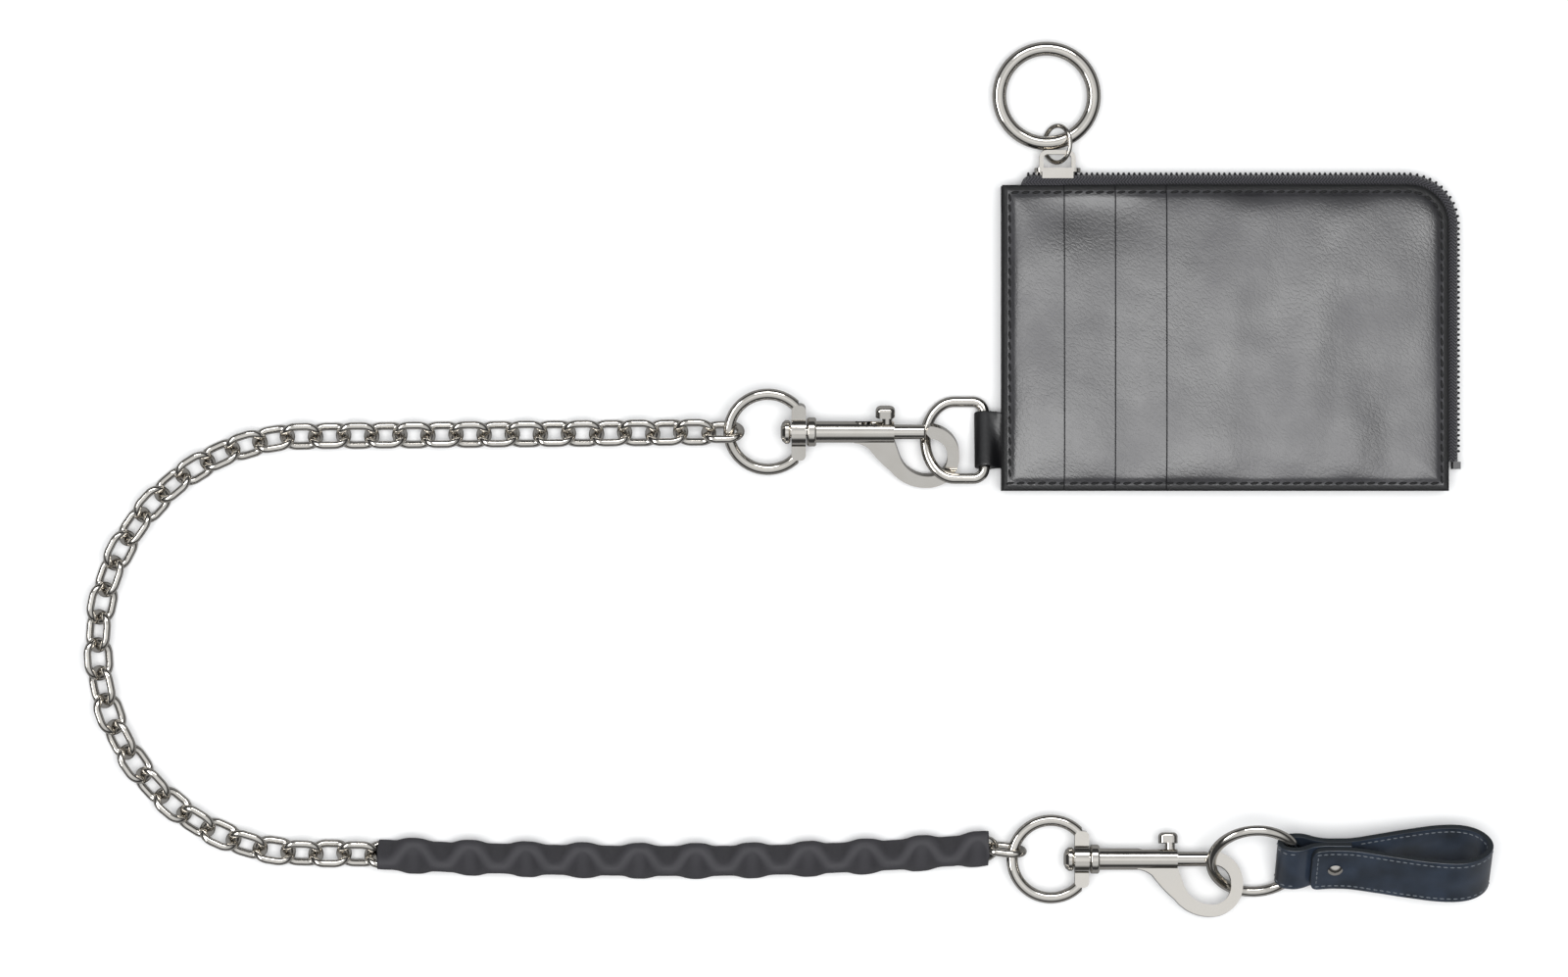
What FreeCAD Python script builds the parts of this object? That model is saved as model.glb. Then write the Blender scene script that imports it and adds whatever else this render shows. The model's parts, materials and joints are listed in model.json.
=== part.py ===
import FreeCAD, Part
import Sketcher

import math
import os

from FreeCAD import Placement, Rotation, Vector

# Chain wallet: a zipped card pouch with a D-ring tab, two swivel bolt snaps,
# a cable chain with a shrunk rubber sleeve and a leather belt loop.
#
# Frame: +X along the pouch towards its rounded end, +Y towards the zip,
# +Z out of the card panels. The origin is the middle of the pouch's back face.

X_AXIS = Vector(1, 0, 0)
Y_AXIS = Vector(0, 1, 0)
Z_AXIS = Vector(0, 0, 1)

SIZE_TABLE = (
    # pouch
    ("pouch_length", 134.5, "leather of the pouch along X"),
    ("pouch_width", 92.3, "leather of the pouch along Y"),
    ("zip_corner_radius", 12.0, "rounded corner between top and right edges"),
    ("small_corner_radius", 1.2, "the three cut corners of the leather"),
    ("back_thickness", 1.4, "back panel"),
    ("core_thickness", 7.0, "space between back and front panels"),
    ("front_thickness", 1.2, "front panel under the card pockets"),
    ("card_thickness", 0.9, "each card pocket panel"),
    ("first_mouth", 18.6, "first pocket mouth from the left edge"),
    ("mouth_step", 15.35, "step from one pocket mouth to the next"),
    ("gusset_width", 4.2, "sewn filler strip along the closed edges"),
    ("lining_thickness", 0.6, "compartment lining"),
    ("lining_margin", 9.5, "lining edge to leather edge on the zip side"),
    ("divider_thickness", 1.0, "leather divider in the compartment"),
    ("divider_margin", 4.8, "divider edge to leather edge on the zip side"),
    # seam
    ("stitch_pitch", 3.2, "one stitch to the next"),
    ("stitch_length", 2.5, "visible thread of one stitch"),
    ("stitch_inset", 2.3, "seam to leather edge"),
    ("thread_width", 0.8, "thread diameter"),
    # zip
    ("tape_thickness", 0.6, "woven zip tape"),
    ("tape_inside", 8.0, "tape under the leather"),
    ("tape_outside", 1.7, "tape beyond the leather edge"),
    ("coil_depth", 2.0, "coil out from the tape"),
    ("coil_height", 2.25, "one coil along Z"),
    ("coil_gap", 0.9, "gap between the two coils"),
    ("zip_left", 61.2, "tape's free end, left of the middle"),
    ("zip_low", 37.3, "tape's lower end, below the middle"),
    # slider and pull
    ("slider_centre", 50.4, "slider centre, left of the middle"),
    ("slider_length", 13.8, "slider along the zip"),
    ("slider_height", 7.4, "slider across the zip"),
    ("slider_plate", 1.2, "outer and inner plates"),
    ("bridge_length", 11.0, "bridge along the zip"),
    ("bridge_rise", 5.5, "bridge top above the outer plate"),
    ("bridge_width", 2.6, "bridge across the zip"),
    ("bridge_thickness", 1.3, "bridge metal"),
    ("jump_ring_outer", 12.4, "outside diameter of the jump ring"),
    ("jump_ring_wire", 1.3, "jump ring wire"),
    ("jump_ring_turn", 48.0, "jump ring plane turned about Y, degrees"),
    ("jump_ring_rise", 58.7, "jump ring centre above the middle"),
    ("pull_ring_outer", 32.8, "outside diameter of the pull ring"),
    ("pull_ring_wire", 4.2, "pull ring wire"),
    ("pull_ring_left", 53.6, "pull ring centre, left of the middle"),
    ("pull_ring_rise", 73.3, "pull ring centre above the middle"),
    ("pull_ring_height", 4.2, "pull ring centre above the back face"),
    # tab and D-ring
    ("tab_width", 17.0, "tab strap along Y"),
    ("tab_leather", 1.15, "tab strap leather"),
    ("tab_inside", 8.0, "tab strap sewn inside the pouch"),
    ("tab_drop", 30.8, "tab and D-ring below the middle"),
    ("dee_wire", 3.2, "D-ring wire"),
    ("dee_length", 21.0, "D-ring along X"),
    ("dee_height", 27.2, "D-ring along its bar"),
    ("dee_straight", 9.0, "straight run from the bar to the bow"),
    ("dee_corner", 3.4, "bend radius of the bar corners, wire centre"),
    ("dee_bar_left", 72.5, "D-ring bar, left of the middle"),
    ("dee_tilt", 14.5, "D-ring turned about X, degrees"),
    # bolt snaps
    ("snap_left", 123.3, "first snap collar face, left of the middle"),
    ("snap_drop", 28.35, "first snap axis below the middle"),
    ("snap_rise", 8.5, "first snap axis above the back face"),
    ("snap_tilt", 19.5, "first snap turned about X, degrees"),
    ("second_snap_tilt", -8.0, "second snap turned about X, degrees"),
    ("first_eye_tilt", 15.0, "first eye turned about X, degrees"),
    ("second_snap_left", 37.8, "second snap collar face, left of the middle"),
    ("second_snap_drop", 157.35, "second snap axis below the middle"),
    ("second_snap_rise", 6.45, "second snap axis above the back face"),
    ("barrel_length", 23.5, "snap barrel"),
    ("barrel_diameter", 6.5, "snap barrel"),
    ("bolt_diameter", 4.4, "sliding bolt"),
    ("bolt_clearance", 0.08, "bolt to bore, radial"),
    ("bolt_reach", 9.4, "bolt out of the barrel when shut"),
    ("bolt_inside", 6.6, "bolt inside the barrel when shut"),
    ("bolt_travel", 8.0, "bolt stroke"),
    ("collar_diameter", 8.8, "snap collar"),
    ("collar_length", 2.8, "snap collar"),
    ("rivet_head_diameter", 7.1, "swivel rivet head"),
    ("rivet_shank_diameter", 3.6, "swivel rivet shank"),
    ("hub_length", 4.3, "hub bar of the eye along X"),
    ("hub_diameter", 9.0, "boss of the hub bar"),
    ("eye_outer", 26.8, "outside diameter of the eye"),
    ("eye_wire", 3.4, "eye wire"),
    ("hook_thickness", 3.0, "flat hook"),
    # chain
    ("link_length", 13.2, "link outside length"),
    ("link_width", 10.4, "link outside width"),
    ("link_wire", 2.3, "link wire"),
    ("link_pitch", 8.5, "link centre to link centre"),
    ("link_roll", 45.0, "each link rolled about the run, degrees"),
    ("chain_height", 4.2, "chain centre line above the table"),
    ("bend_radius", 63.1, "chain bend, centre line"),
    ("end_link_left", 66.1, "last link centre, left of the middle"),
    ("end_link_rise", 5.75, "last link centre above the table"),
    ("end_link_roll", 102.0, "last link rolled about its run, degrees"),
    # sleeve
    ("sleeve_left", 255.6, "sleeve's left end, left of the middle"),
    ("sleeve_right", 71.9, "sleeve's right end, left of the middle"),
    ("sleeve_width", 10.2, "sleeve outside"),
    ("sleeve_wall", 0.9, "sleeve rubber"),
    ("sleeve_height", 5.2, "sleeve centre line above the table"),
    # belt loop
    ("belt_ring_outer", 29.5, "outside diameter of the belt ring"),
    ("belt_ring_wire", 3.1, "belt ring wire"),
    ("belt_ring_right", 8.85, "belt ring centre, right of the middle"),
    ("belt_ring_drop", 157.7, "belt ring centre below the middle"),
    ("belt_ring_rise", 11.2, "belt ring centre above the table"),
    ("belt_tilt", 42.0, "belt loop turned about X, degrees"),
    ("strap_width", 16.5, "belt strap width"),
    ("strap_thickness", 1.7, "belt strap leather"),
    ("cap_diameter", 4.4, "belt rivet cap"),
    ("belt_stitch_pitch", 1.75, "belt strap stitch pitch"),
)


class Size:
    """A length from the sheet: its number, and the expression that gives it."""

    def __init__(self, value, text):
        self.value = value
        self.text = text

    def _join(self, other, sign, value):
        other_text = other.text if isinstance(other, Size) else repr(other)
        return Size(value, "(%s %s %s)" % (self.text, sign, other_text))

    def __add__(self, other):
        return self._join(other, "+", self.value + number(other))

    def __sub__(self, other):
        return self._join(other, "-", self.value - number(other))

    def __mul__(self, other):
        return self._join(other, "*", self.value * number(other))

    def __truediv__(self, other):
        return self._join(other, "/", self.value / number(other))

    def __neg__(self):
        return Size(-self.value, "(0 - %s)" % self.text)


def number(size):
    """The plain number of a Size, or the number itself."""
    return size.value if isinstance(size, Size) else size


ZERO = Size(0.0, "0")
SIZES = {alias: Size(value, "Sizes." + alias) for alias, value, note in SIZE_TABLE}


def size(alias):
    """The named size with its expression."""
    return SIZES[alias]


def mm(alias):
    """The named size as a plain number."""
    return SIZES[alias].value


def make_sheet(doc):
    """Put every driving dimension in a spreadsheet cell with an alias."""
    sheet = doc.addObject("Spreadsheet::Sheet", "Sizes")
    for row, (alias, value, note) in enumerate(SIZE_TABLE, start=1):
        sheet.set("A%d" % row, note)
        sheet.set("B%d" % row, str(value))
        sheet.setAlias("B%d" % row, alias)
    doc.recompute()
    return sheet


# ---------------------------------------------------------------- building aids

def bind(item, **properties):
    """Bind properties of an object to sheet expressions."""
    for name, value in properties.items():
        item.setExpression(name, value.text if isinstance(value, Size) else repr(value))


def place(item, x=ZERO, y=ZERO, z=ZERO, turn_about_x=None):
    """Bind an object's place, and its turn about X, to sheet expressions."""
    if turn_about_x is not None:
        item.Placement = Placement(Vector(), Rotation(X_AXIS, number(turn_about_x)))
    for axis, value in (("x", x), ("y", y), ("z", z)):
        item.setExpression(".Placement.Base." + axis, value.text)


def new_body(doc, label):
    """An empty PartDesign body with its label."""
    body = doc.addObject("PartDesign::Body", label)
    body.Label = label
    return body


def sketch_on(body, role, name):
    """A sketch on one of the body's own origin planes."""
    sketch = body.newObject("Sketcher::SketchObject", name)
    plane = next(p for p in body.Origin.OriginFeatures if p.Role == role)
    sketch.AttachmentSupport = [(plane, "")]
    sketch.MapMode = "FlatFace"
    return sketch


def closed_outline(sketch, points):
    """A closed polygon whose corners are bound to the sheet."""
    corners = [Vector(number(x), number(y), 0) for x, y in points]
    count = len(corners)
    for index in range(count):
        sketch.addGeometry(Part.LineSegment(corners[index], corners[(index + 1) % count]), False)
    for index in range(count):
        following = (index + 1) % count
        sketch.addConstraint(Sketcher.Constraint("Coincident", index, 2, following, 1))
    for index, (x, y) in enumerate(points):
        for kind, value in (("DistanceX", x), ("DistanceY", y)):
            if number(value) == 0.0:
                pin_to_axis(sketch, kind, index)
                continue
            spot = sketch.addConstraint(
                Sketcher.Constraint(kind, -1, 1, index, 1, number(value)))
            if isinstance(value, Size):
                sketch.setExpression("Constraints[%d]" % spot, value.text)


def pin_to_axis(sketch, kind, index):
    """Hold a corner on the sketch's own X or Y axis."""
    axis = -2 if kind == "DistanceX" else -1
    sketch.addConstraint(Sketcher.Constraint("PointOnObject", index, 1, axis))


def pad(body, sketch, length, name):
    """Pad a sketch upwards by a sheet length."""
    feature = body.newObject("PartDesign::Pad", name)
    feature.Profile = sketch
    bind(feature, Length=length)
    body.Tip = feature
    return feature


def revolve(body, sketch, name):
    """Turn a sketch a full turn about its own horizontal axis."""
    feature = body.newObject("PartDesign::Revolution", name)
    feature.Profile = sketch
    feature.ReferenceAxis = (sketch, ["H_Axis"])
    feature.Angle = 360.0
    body.Tip = feature
    return feature


def round_upright_edge(body, base, x, y, radius, name):
    """Fillet the upright edge of a plate that stands at x, y."""
    for index, edge in enumerate(base.Shape.Edges, start=1):
        middle = edge.CenterOfMass
        upright = abs(edge.tangentAt(edge.FirstParameter).z) > 0.99
        if upright and abs(middle.x - x) < 0.01 and abs(middle.y - y) < 0.01:
            feature = body.newObject("PartDesign::Fillet", name)
            feature.Base = (base, ["Edge%d" % index])
            bind(feature, Radius=radius)
            body.Tip = feature
            return feature
    raise RuntimeError("no upright edge at %.2f, %.2f" % (x, y))


def plate(doc, label, left, right, low, high, base, thickness, corner=None, small=None):
    """A flat leather or cloth piece, with the zip-side corner rounded."""
    body = new_body(doc, label)
    sketch = sketch_on(body, "XY_Plane", label + "_outline")
    closed_outline(sketch, [(left, low), (right, low), (right, high), (left, high)])
    feature = pad(body, sketch, thickness, label + "_pad")
    doc.recompute()
    if corner is not None:
        feature = round_upright_edge(
            body, feature, number(right), number(high), corner, label + "_zip_corner")
        doc.recompute()
    if small is not None:
        for place_name, x, y in (("low_left", left, low), ("low_right", right, low),
                                 ("high_left", left, high)):
            feature = round_upright_edge(
                body, feature, number(x), number(y), small, label + "_" + place_name)
            doc.recompute()
    place(body, z=base)
    return body


def solid_of_revolution(doc, label, points):
    """A turned piece: points are (along X, radius)."""
    body = new_body(doc, label)
    sketch = sketch_on(body, "XY_Plane", label + "_profile")
    closed_outline(sketch, points)
    revolve(body, sketch, label + "_turning")
    return body


def shape_feature(doc, label, shape, spot=None):
    """A sub-part whose shape is set from sheet sizes in code."""
    feature = doc.addObject("Part::Feature", label)
    feature.Label = label
    feature.Shape = shape
    if spot is not None:
        feature.Placement = spot
    return feature


def torus(doc, label, outer, wire):
    """A welded round ring in its own XY plane."""
    ring = doc.addObject("Part::Torus", label)
    ring.Label = label
    bind(ring, Radius1=(outer - wire) / 2, Radius2=wire / 2)
    return ring


def box_shape(x_low, x_high, y_low, y_high, z_low, z_high):
    """A box between two corners."""
    return Part.makeBox(x_high - x_low, y_high - y_low, z_high - z_low,
                        Vector(x_low, y_low, z_low))


# ---------------------------------------------------------------- pouch

def pouch_levels():
    """Heights of the pouch's layers above the back face."""
    core = size("back_thickness")
    front = core + size("core_thickness")
    cards = front + size("front_thickness")
    top = cards + size("card_thickness") * 3
    return core, front, cards, top


def build_pouch(doc):
    """Leather panels, card pockets, gussets, linings and dividers."""
    parts = []
    right = size("pouch_length") / 2
    high = size("pouch_width") / 2
    core, front, cards, top = pouch_levels()
    corner = size("zip_corner_radius")
    small = size("small_corner_radius")
    parts.append(plate(doc, "back_panel", -right, right, -high, high, ZERO,
                       size("back_thickness"), corner, small))
    parts.append(plate(doc, "front_panel", -right, right, -high, high, front,
                       size("front_thickness"), corner, small))
    for index in range(3):
        mouth = -right + size("first_mouth") + size("mouth_step") * index
        parts.append(plate(doc, "card_panel_%d" % (index + 1), mouth, right, -high, high,
                           cards + size("card_thickness") * index, size("card_thickness"),
                           corner))
    parts.extend(build_gussets(doc))
    parts.extend(build_inside(doc))
    return parts


def build_gussets(doc):
    """Filler strips that close the left and lower edges; the tab passes through the left one."""
    right = size("pouch_length") / 2
    high = size("pouch_width") / 2
    core, front, cards, top = pouch_levels()
    wide = size("gusset_width")
    low_strip = plate(doc, "gusset_low", -right + wide, right, -high, -high + wide, core,
                      size("core_thickness"))
    strip = doc.addObject("Part::Box", "gusset_left_strip")
    bind(strip, Length=wide, Width=size("pouch_width") - size("tape_inside"),
         Height=size("core_thickness"))
    place(strip, -right, -high, core)
    slot = doc.addObject("Part::Box", "gusset_left_slot")
    play = 0.1
    bind(slot, Length=wide + 2, Width=size("tab_width") + play * 2,
         Height=size("tab_leather") * 2 + play * 2)
    place(slot, -right - 1, -size("tab_drop") - size("tab_width") / 2 - play,
          core + size("core_thickness") / 2 - size("tab_leather") - play)
    cut = doc.addObject("Part::Cut", "gusset_left")
    cut.Label = "gusset_left"
    cut.Base = strip
    cut.Tool = slot
    return [low_strip, cut]


def build_inside(doc):
    """Linings against both panels, and two dividers between them."""
    parts = []
    left = -size("pouch_length") / 2 + size("gusset_width")
    low = -size("pouch_width") / 2 + size("gusset_width")
    core, front, cards, top = pouch_levels()
    thin = size("lining_thickness")
    margin = size("lining_margin")
    right_edge = size("pouch_length") / 2 - margin
    high_edge = size("pouch_width") / 2 - margin
    parts.append(plate(doc, "lining_back", left, right_edge, low, high_edge, core, thin))
    parts.append(plate(doc, "lining_front", left, right_edge, low, high_edge, front - thin, thin))
    divider = size("divider_thickness")
    margin = size("divider_margin")
    right_edge = size("pouch_length") / 2 - margin
    high_edge = size("pouch_width") / 2 - margin
    tab_clear = left + size("tab_inside")
    for name, share in (("divider_back", 0.27), ("divider_front", 0.73)):
        level = core + size("core_thickness") * share - divider / 2
        parts.append(plate(doc, name, tab_clear, right_edge, low, high_edge, level, divider))
    return parts


def seam_run(start, direction, length, height):
    """Stitches along one straight seam, each a half-round thread on the leather."""
    stitches = []
    pitch = mm("stitch_pitch")
    count = int(length / pitch)
    spare = (length - count * pitch + pitch - mm("stitch_length")) / 2
    lie_down = Rotation(Y_AXIS, Z_AXIS, X_AXIS, "XYZ")
    heading = Rotation(X_AXIS, direction)
    for index in range(count):
        spot = start + direction * (spare + index * pitch)
        stitch = Part.makeCylinder(mm("thread_width") / 2, mm("stitch_length"),
                                   Vector(), Z_AXIS, 180)
        stitch.Placement = Placement(Vector(spot.x, spot.y, height(spot.x)),
                                     heading.multiply(lie_down))
        stitches.append(stitch)
    return stitches


def top_height(x):
    """Height of the uppermost layer of the pouch at x, clear of a pocket mouth."""
    core, front, cards, top = pouch_levels()
    height = cards.value
    for index in range(3):
        mouth = -mm("pouch_length") / 2 + mm("first_mouth") + mm("mouth_step") * index
        if x > mouth - mm("stitch_length"):
            height = cards.value + mm("card_thickness") * (index + 1)
    return height


def build_stitching(doc):
    """The seam round the front: four straight runs."""
    right = mm("pouch_length") / 2 - mm("stitch_inset")
    high = mm("pouch_width") / 2 - mm("stitch_inset")
    corner = mm("zip_corner_radius") - mm("stitch_inset")
    stitches = []
    stitches += seam_run(Vector(-right, high, 0), X_AXIS, 2 * right - corner, top_height)
    stitches += seam_run(Vector(-right, -high, 0), X_AXIS, 2 * right, top_height)
    stitches += seam_run(Vector(-right, -high, 0), Y_AXIS, 2 * high, top_height)
    stitches += seam_run(Vector(right, -high, 0), Y_AXIS, 2 * high - corner, top_height)
    stitches += corner_stitches(right - corner, high - corner, corner)
    return shape_feature(doc, "wallet_stitching", Part.makeCompound(stitches))


def corner_stitches(x, y, radius):
    """Stitches round the rounded corner."""
    stitches = []
    count = int(radius * math.pi / 2 / mm("stitch_pitch"))
    lie_down = Rotation(Y_AXIS, Z_AXIS, X_AXIS, "XYZ")
    core, front, cards, top = pouch_levels()
    for index in range(count):
        angle = (index + 0.5) * 90.0 / count
        stitch = Part.makeCylinder(mm("thread_width") / 2, mm("stitch_length"),
                                   Vector(0, 0, -mm("stitch_length") / 2), Z_AXIS, 180)
        spot = Vector(x + radius * math.cos(math.radians(angle)),
                      y + radius * math.sin(math.radians(angle)), top.value)
        turn = Rotation(Z_AXIS, angle + 90.0)
        stitch.Placement = Placement(spot, turn.multiply(lie_down))
        stitches.append(stitch)
    return stitches


# ---------------------------------------------------------------- zip

def zip_middle():
    """Height of the zip's middle above the back face."""
    return mm("back_thickness") + mm("core_thickness") / 2


def zip_path(offset):
    """The zip's run, offset outwards from the leather edge: top edge, corner, right edge."""
    right = mm("pouch_length") / 2 + offset
    high = mm("pouch_width") / 2 + offset
    radius = mm("zip_corner_radius") + offset
    centre = Vector(right - radius, high - radius, 0)
    start = Vector(-mm("zip_left"), high, 0)
    corner_start = Vector(centre.x, high, 0)
    corner_end = Vector(right, centre.y, 0)
    middle = centre + Vector(radius, radius, 0) * math.sqrt(0.5)
    finish = Vector(right, -mm("zip_low"), 0)
    return Part.Wire([Part.LineSegment(start, corner_start).toShape(),
                      Part.Arc(corner_start, middle, corner_end).toShape(),
                      Part.LineSegment(corner_end, finish).toShape()])


def along_zip(profile):
    """Carry a profile, drawn as (outwards, height) points, along the zip's run."""
    start_x = -mm("zip_left")
    edge_y = mm("pouch_width") / 2
    corners = [Vector(start_x, edge_y + out, height) for out, height in profile]
    section = Part.makePolygon(corners + [corners[0]])
    return zip_path(0.0).makePipeShell([section], True, False, 2)


def tape_profile(side):
    """A tape half: flat under the leather, then folded towards the zip's middle."""
    panel = mm("core_thickness") / 2
    thick = mm("tape_thickness")
    out = mm("tape_outside")
    bend = 1.1
    inner_end = mm("coil_gap") / 2 + 0.3
    points = [(-mm("tape_inside"), panel), (out - bend, panel), (out - bend / 3, panel - bend / 3),
              (out, panel - bend), (out, inner_end), (out - thick, inner_end),
              (out - thick, panel - bend), (out - bend, panel - thick),
              (-mm("tape_inside"), panel - thick)]
    middle = zip_middle()
    return [(x, middle + side * height) for x, height in points]


def coil_profile(side):
    """A coil half as a plain strip on the tape's outside."""
    low = mm("coil_gap") / 2
    out = mm("tape_outside")
    points = [(out, low), (out + mm("coil_depth"), low),
              (out + mm("coil_depth"), low + mm("coil_height")), (out, low + mm("coil_height"))]
    middle = zip_middle()
    return [(x, middle + side * height) for x, height in points]


def build_zip(doc):
    """Two tapes, two coils and the lower stop."""
    parts = []
    for name, side in (("back", -1), ("front", 1)):
        parts.append(shape_feature(doc, "zip_tape_" + name, along_zip(tape_profile(side))))
        parts.append(shape_feature(doc, "zip_coil_" + name, along_zip(coil_profile(side))))
    stop = doc.addObject("Part::Box", "zip_lower_stop")
    stop.Label = "zip_lower_stop"
    bind(stop, Length=size("coil_depth") + 0.3, Width=Size(2.2, "2.2"),
         Height=(size("coil_height") * 2 + size("coil_gap")))
    place(stop, size("pouch_length") / 2 + size("tape_outside"), -size("zip_low") - 2.25,
          size("back_thickness") + size("core_thickness") / 2
          - size("coil_height") - size("coil_gap") / 2)
    parts.append(stop)
    return parts


# ---------------------------------------------------------------- slider and pull

def build_slider(doc):
    """Slider shell (two plates, post and side lips) and its bridge."""
    centre = -mm("slider_centre")
    half = mm("slider_length") / 2
    left, right = centre - half, centre + half
    middle = zip_middle()
    tall = mm("slider_height") / 2
    plate_thick = mm("slider_plate")
    edge = mm("pouch_width") / 2
    coil_out = edge + mm("tape_outside") + mm("coil_depth")
    outer_low = coil_out + 0.3
    inner_high = edge + mm("tape_outside") - mm("tape_thickness") - 0.25
    inner_tall = 1.5
    lip = 0.7
    lip_low = edge + mm("tape_outside") + 0.35
    outer = box_shape(left, right, outer_low, outer_low + plate_thick, middle - tall, middle + tall)
    outer = outer.makeFillet(2.2, [e for e in outer.Edges
                                   if abs(e.tangentAt(e.FirstParameter).y) > 0.99])
    lips = [box_shape(left + 2.2, right - 2.2, lip_low, outer_low, middle + side_low,
                      middle + side_high)
            for side_low, side_high in ((tall - lip, tall), (-tall, -tall + lip))]
    post = box_shape(left + 0.6, left + 3.4, inner_high - 0.1, outer_low + 0.1,
                     middle - mm("coil_gap") / 2 + 0.12, middle + mm("coil_gap") / 2 - 0.12)
    inner = box_shape(left, right - 1.0, inner_high - plate_thick, inner_high,
                      middle - inner_tall, middle + inner_tall)
    shell = outer.fuse(lips + [post, inner]).removeSplitter()
    parts = [shape_feature(doc, "slider_shell", shell)]
    parts.append(shape_feature(doc, "slider_bridge", bridge_shape(outer_low + plate_thick)))
    return parts


def bridge_shape(foot):
    """An arch of flat metal standing on the slider, open along Z."""
    centre = -mm("slider_centre")
    half = mm("bridge_length") / 2
    rise = mm("bridge_rise")
    thick = mm("bridge_thickness")
    wide = mm("bridge_width")
    low = zip_middle() - wide / 2
    outer = box_shape(centre - half, centre + half, foot, foot + rise, low, low + wide)
    top_edges = [e for e in outer.Edges
                 if abs(e.CenterOfMass.y - foot - rise) < 0.01
                 and abs(e.tangentAt(e.FirstParameter).z) > 0.99]
    outer = outer.makeFillet(2.4, top_edges)
    inner = box_shape(centre - half + thick, centre + half - thick, foot - 1.0,
                      foot + rise - thick, low - 1.0, low + wide + 1.0)
    top_edges = [e for e in inner.Edges
                 if abs(e.CenterOfMass.y - foot - rise + thick) < 0.01
                 and abs(e.tangentAt(e.FirstParameter).z) > 0.99]
    inner = inner.makeFillet(1.2, top_edges)
    return outer.cut(inner)


def build_pull(doc):
    """Jump ring through the bridge, and the big round pull ring."""
    jump = torus(doc, "jump_ring", size("jump_ring_outer"), size("jump_ring_wire"))
    jump.Placement = Placement(
        Vector(-mm("slider_centre"), mm("jump_ring_rise"), zip_middle()),
        Rotation(Y_AXIS, -mm("jump_ring_turn")))
    pull = torus(doc, "pull_ring", size("pull_ring_outer"), size("pull_ring_wire"))
    place(pull, -size("pull_ring_left"), size("pull_ring_rise"), size("pull_ring_height"))
    return [jump, pull]


# ---------------------------------------------------------------- tab and D-ring

def dee_frame():
    """Frame of the D-ring: on its bar, X towards the pouch, turned about X."""
    return Placement(Vector(-mm("dee_bar_left"), -mm("tab_drop"), zip_middle()),
                     Rotation(X_AXIS, -mm("dee_tilt")))


def round_wire(path, diameter):
    """Round wire bent along a closed path."""
    start = path.Edges[0]
    at = start.valueAt(start.FirstParameter)
    heading = start.tangentAt(start.FirstParameter)
    section = Part.Wire([Part.Circle(at, heading, diameter / 2).toShape()])
    solid = path.makePipeShell([section], True, True, 2)
    if solid.Volume < 0:
        solid.reverse()
    return solid


def build_dee(doc):
    """D-ring: straight bar, two tight corners, short straights and a round bow."""
    half = (mm("dee_height") - mm("dee_wire")) / 2
    bend = mm("dee_corner")
    straight = mm("dee_straight")
    reach = mm("dee_length") - mm("dee_wire")
    diagonal = bend * (1 - math.sqrt(0.5))
    points = [Vector(0, -half + bend, 0), Vector(0, half - bend, 0),
              Vector(-bend, half, 0), Vector(-straight, half, 0),
              Vector(-reach, 0, 0), Vector(-straight, -half, 0), Vector(-bend, -half, 0)]
    edges = [Part.LineSegment(points[0], points[1]).toShape(),
             Part.Arc(points[1], Vector(-diagonal, half - diagonal, 0), points[2]).toShape(),
             Part.LineSegment(points[2], points[3]).toShape()]
    edges += bow_edges(points[3], points[4], points[5])
    edges += [Part.LineSegment(points[5], points[6]).toShape(),
              Part.Arc(points[6], Vector(-diagonal, -half + diagonal, 0), points[0]).toShape()]
    ring = round_wire(Part.Wire(edges), mm("dee_wire"))
    return shape_feature(doc, "d_ring", ring, dee_frame())


def bow_edges(upper, middle, lower):
    """Two quarter ellipses from the upper straight over the far side to the lower one."""
    centre = Vector(upper.x, 0, 0)
    tall = upper.y
    reach = centre.x - middle.x
    top = centre + Vector(0, tall, 0)
    if tall >= reach:
        ellipse = Part.Ellipse(top, centre - Vector(reach, 0, 0), centre)
        return [ellipse.toShape(0, math.pi / 2), ellipse.toShape(math.pi / 2, math.pi)]
    ellipse = Part.Ellipse(centre - Vector(reach, 0, 0), top, centre)
    return [ellipse.toShape(-math.pi / 2, 0), ellipse.toShape(0, math.pi / 2)]


def build_tab(doc):
    """Leather tab: a doubled tongue in the pouch and a loop round the D-ring's bar."""
    leather = mm("tab_leather")
    half_width = mm("tab_width") / 2
    edge = -mm("pouch_length") / 2
    hole = mm("dee_wire") / 2 + 0.15
    outer = hole + leather
    frame = dee_frame()
    loop = Part.makeCylinder(outer, 2 * half_width, Vector(0, -half_width, 0), Y_AXIS)
    neck_end = mm("dee_bar_left") + edge + 0.1
    neck = box_shape(0, neck_end, -half_width, half_width, -leather, leather)
    loop = loop.fuse(neck)
    loop = loop.cut(Part.makeCylinder(hole, 2 * half_width + 2, Vector(0, -half_width - 1, 0),
                                      Y_AXIS))
    loop.transformShape(frame.toMatrix())
    tongue = box_shape(edge - 0.4, edge + mm("tab_inside"), -mm("tab_drop") - half_width,
                       -mm("tab_drop") + half_width, zip_middle() - leather,
                       zip_middle() + leather)
    panel_side = box_shape(edge, edge + 5, -60, 0, -5, 20)
    return shape_feature(doc, "tab_strap", loop.cut(panel_side).fuse(tongue).removeSplitter())


# ---------------------------------------------------------------- bolt snaps

def snap_frame(index):
    """Frame of a snap: on its axis at the collar, X towards the hook."""
    if index == 1:
        return Placement(Vector(-mm("snap_left"), -mm("snap_drop"), mm("snap_rise")),
                         Rotation(X_AXIS, mm("snap_tilt")))
    return Placement(Vector(-mm("second_snap_left"), -mm("second_snap_drop"),
                            mm("second_snap_rise")), Rotation(X_AXIS, mm("second_snap_tilt")))


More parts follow.
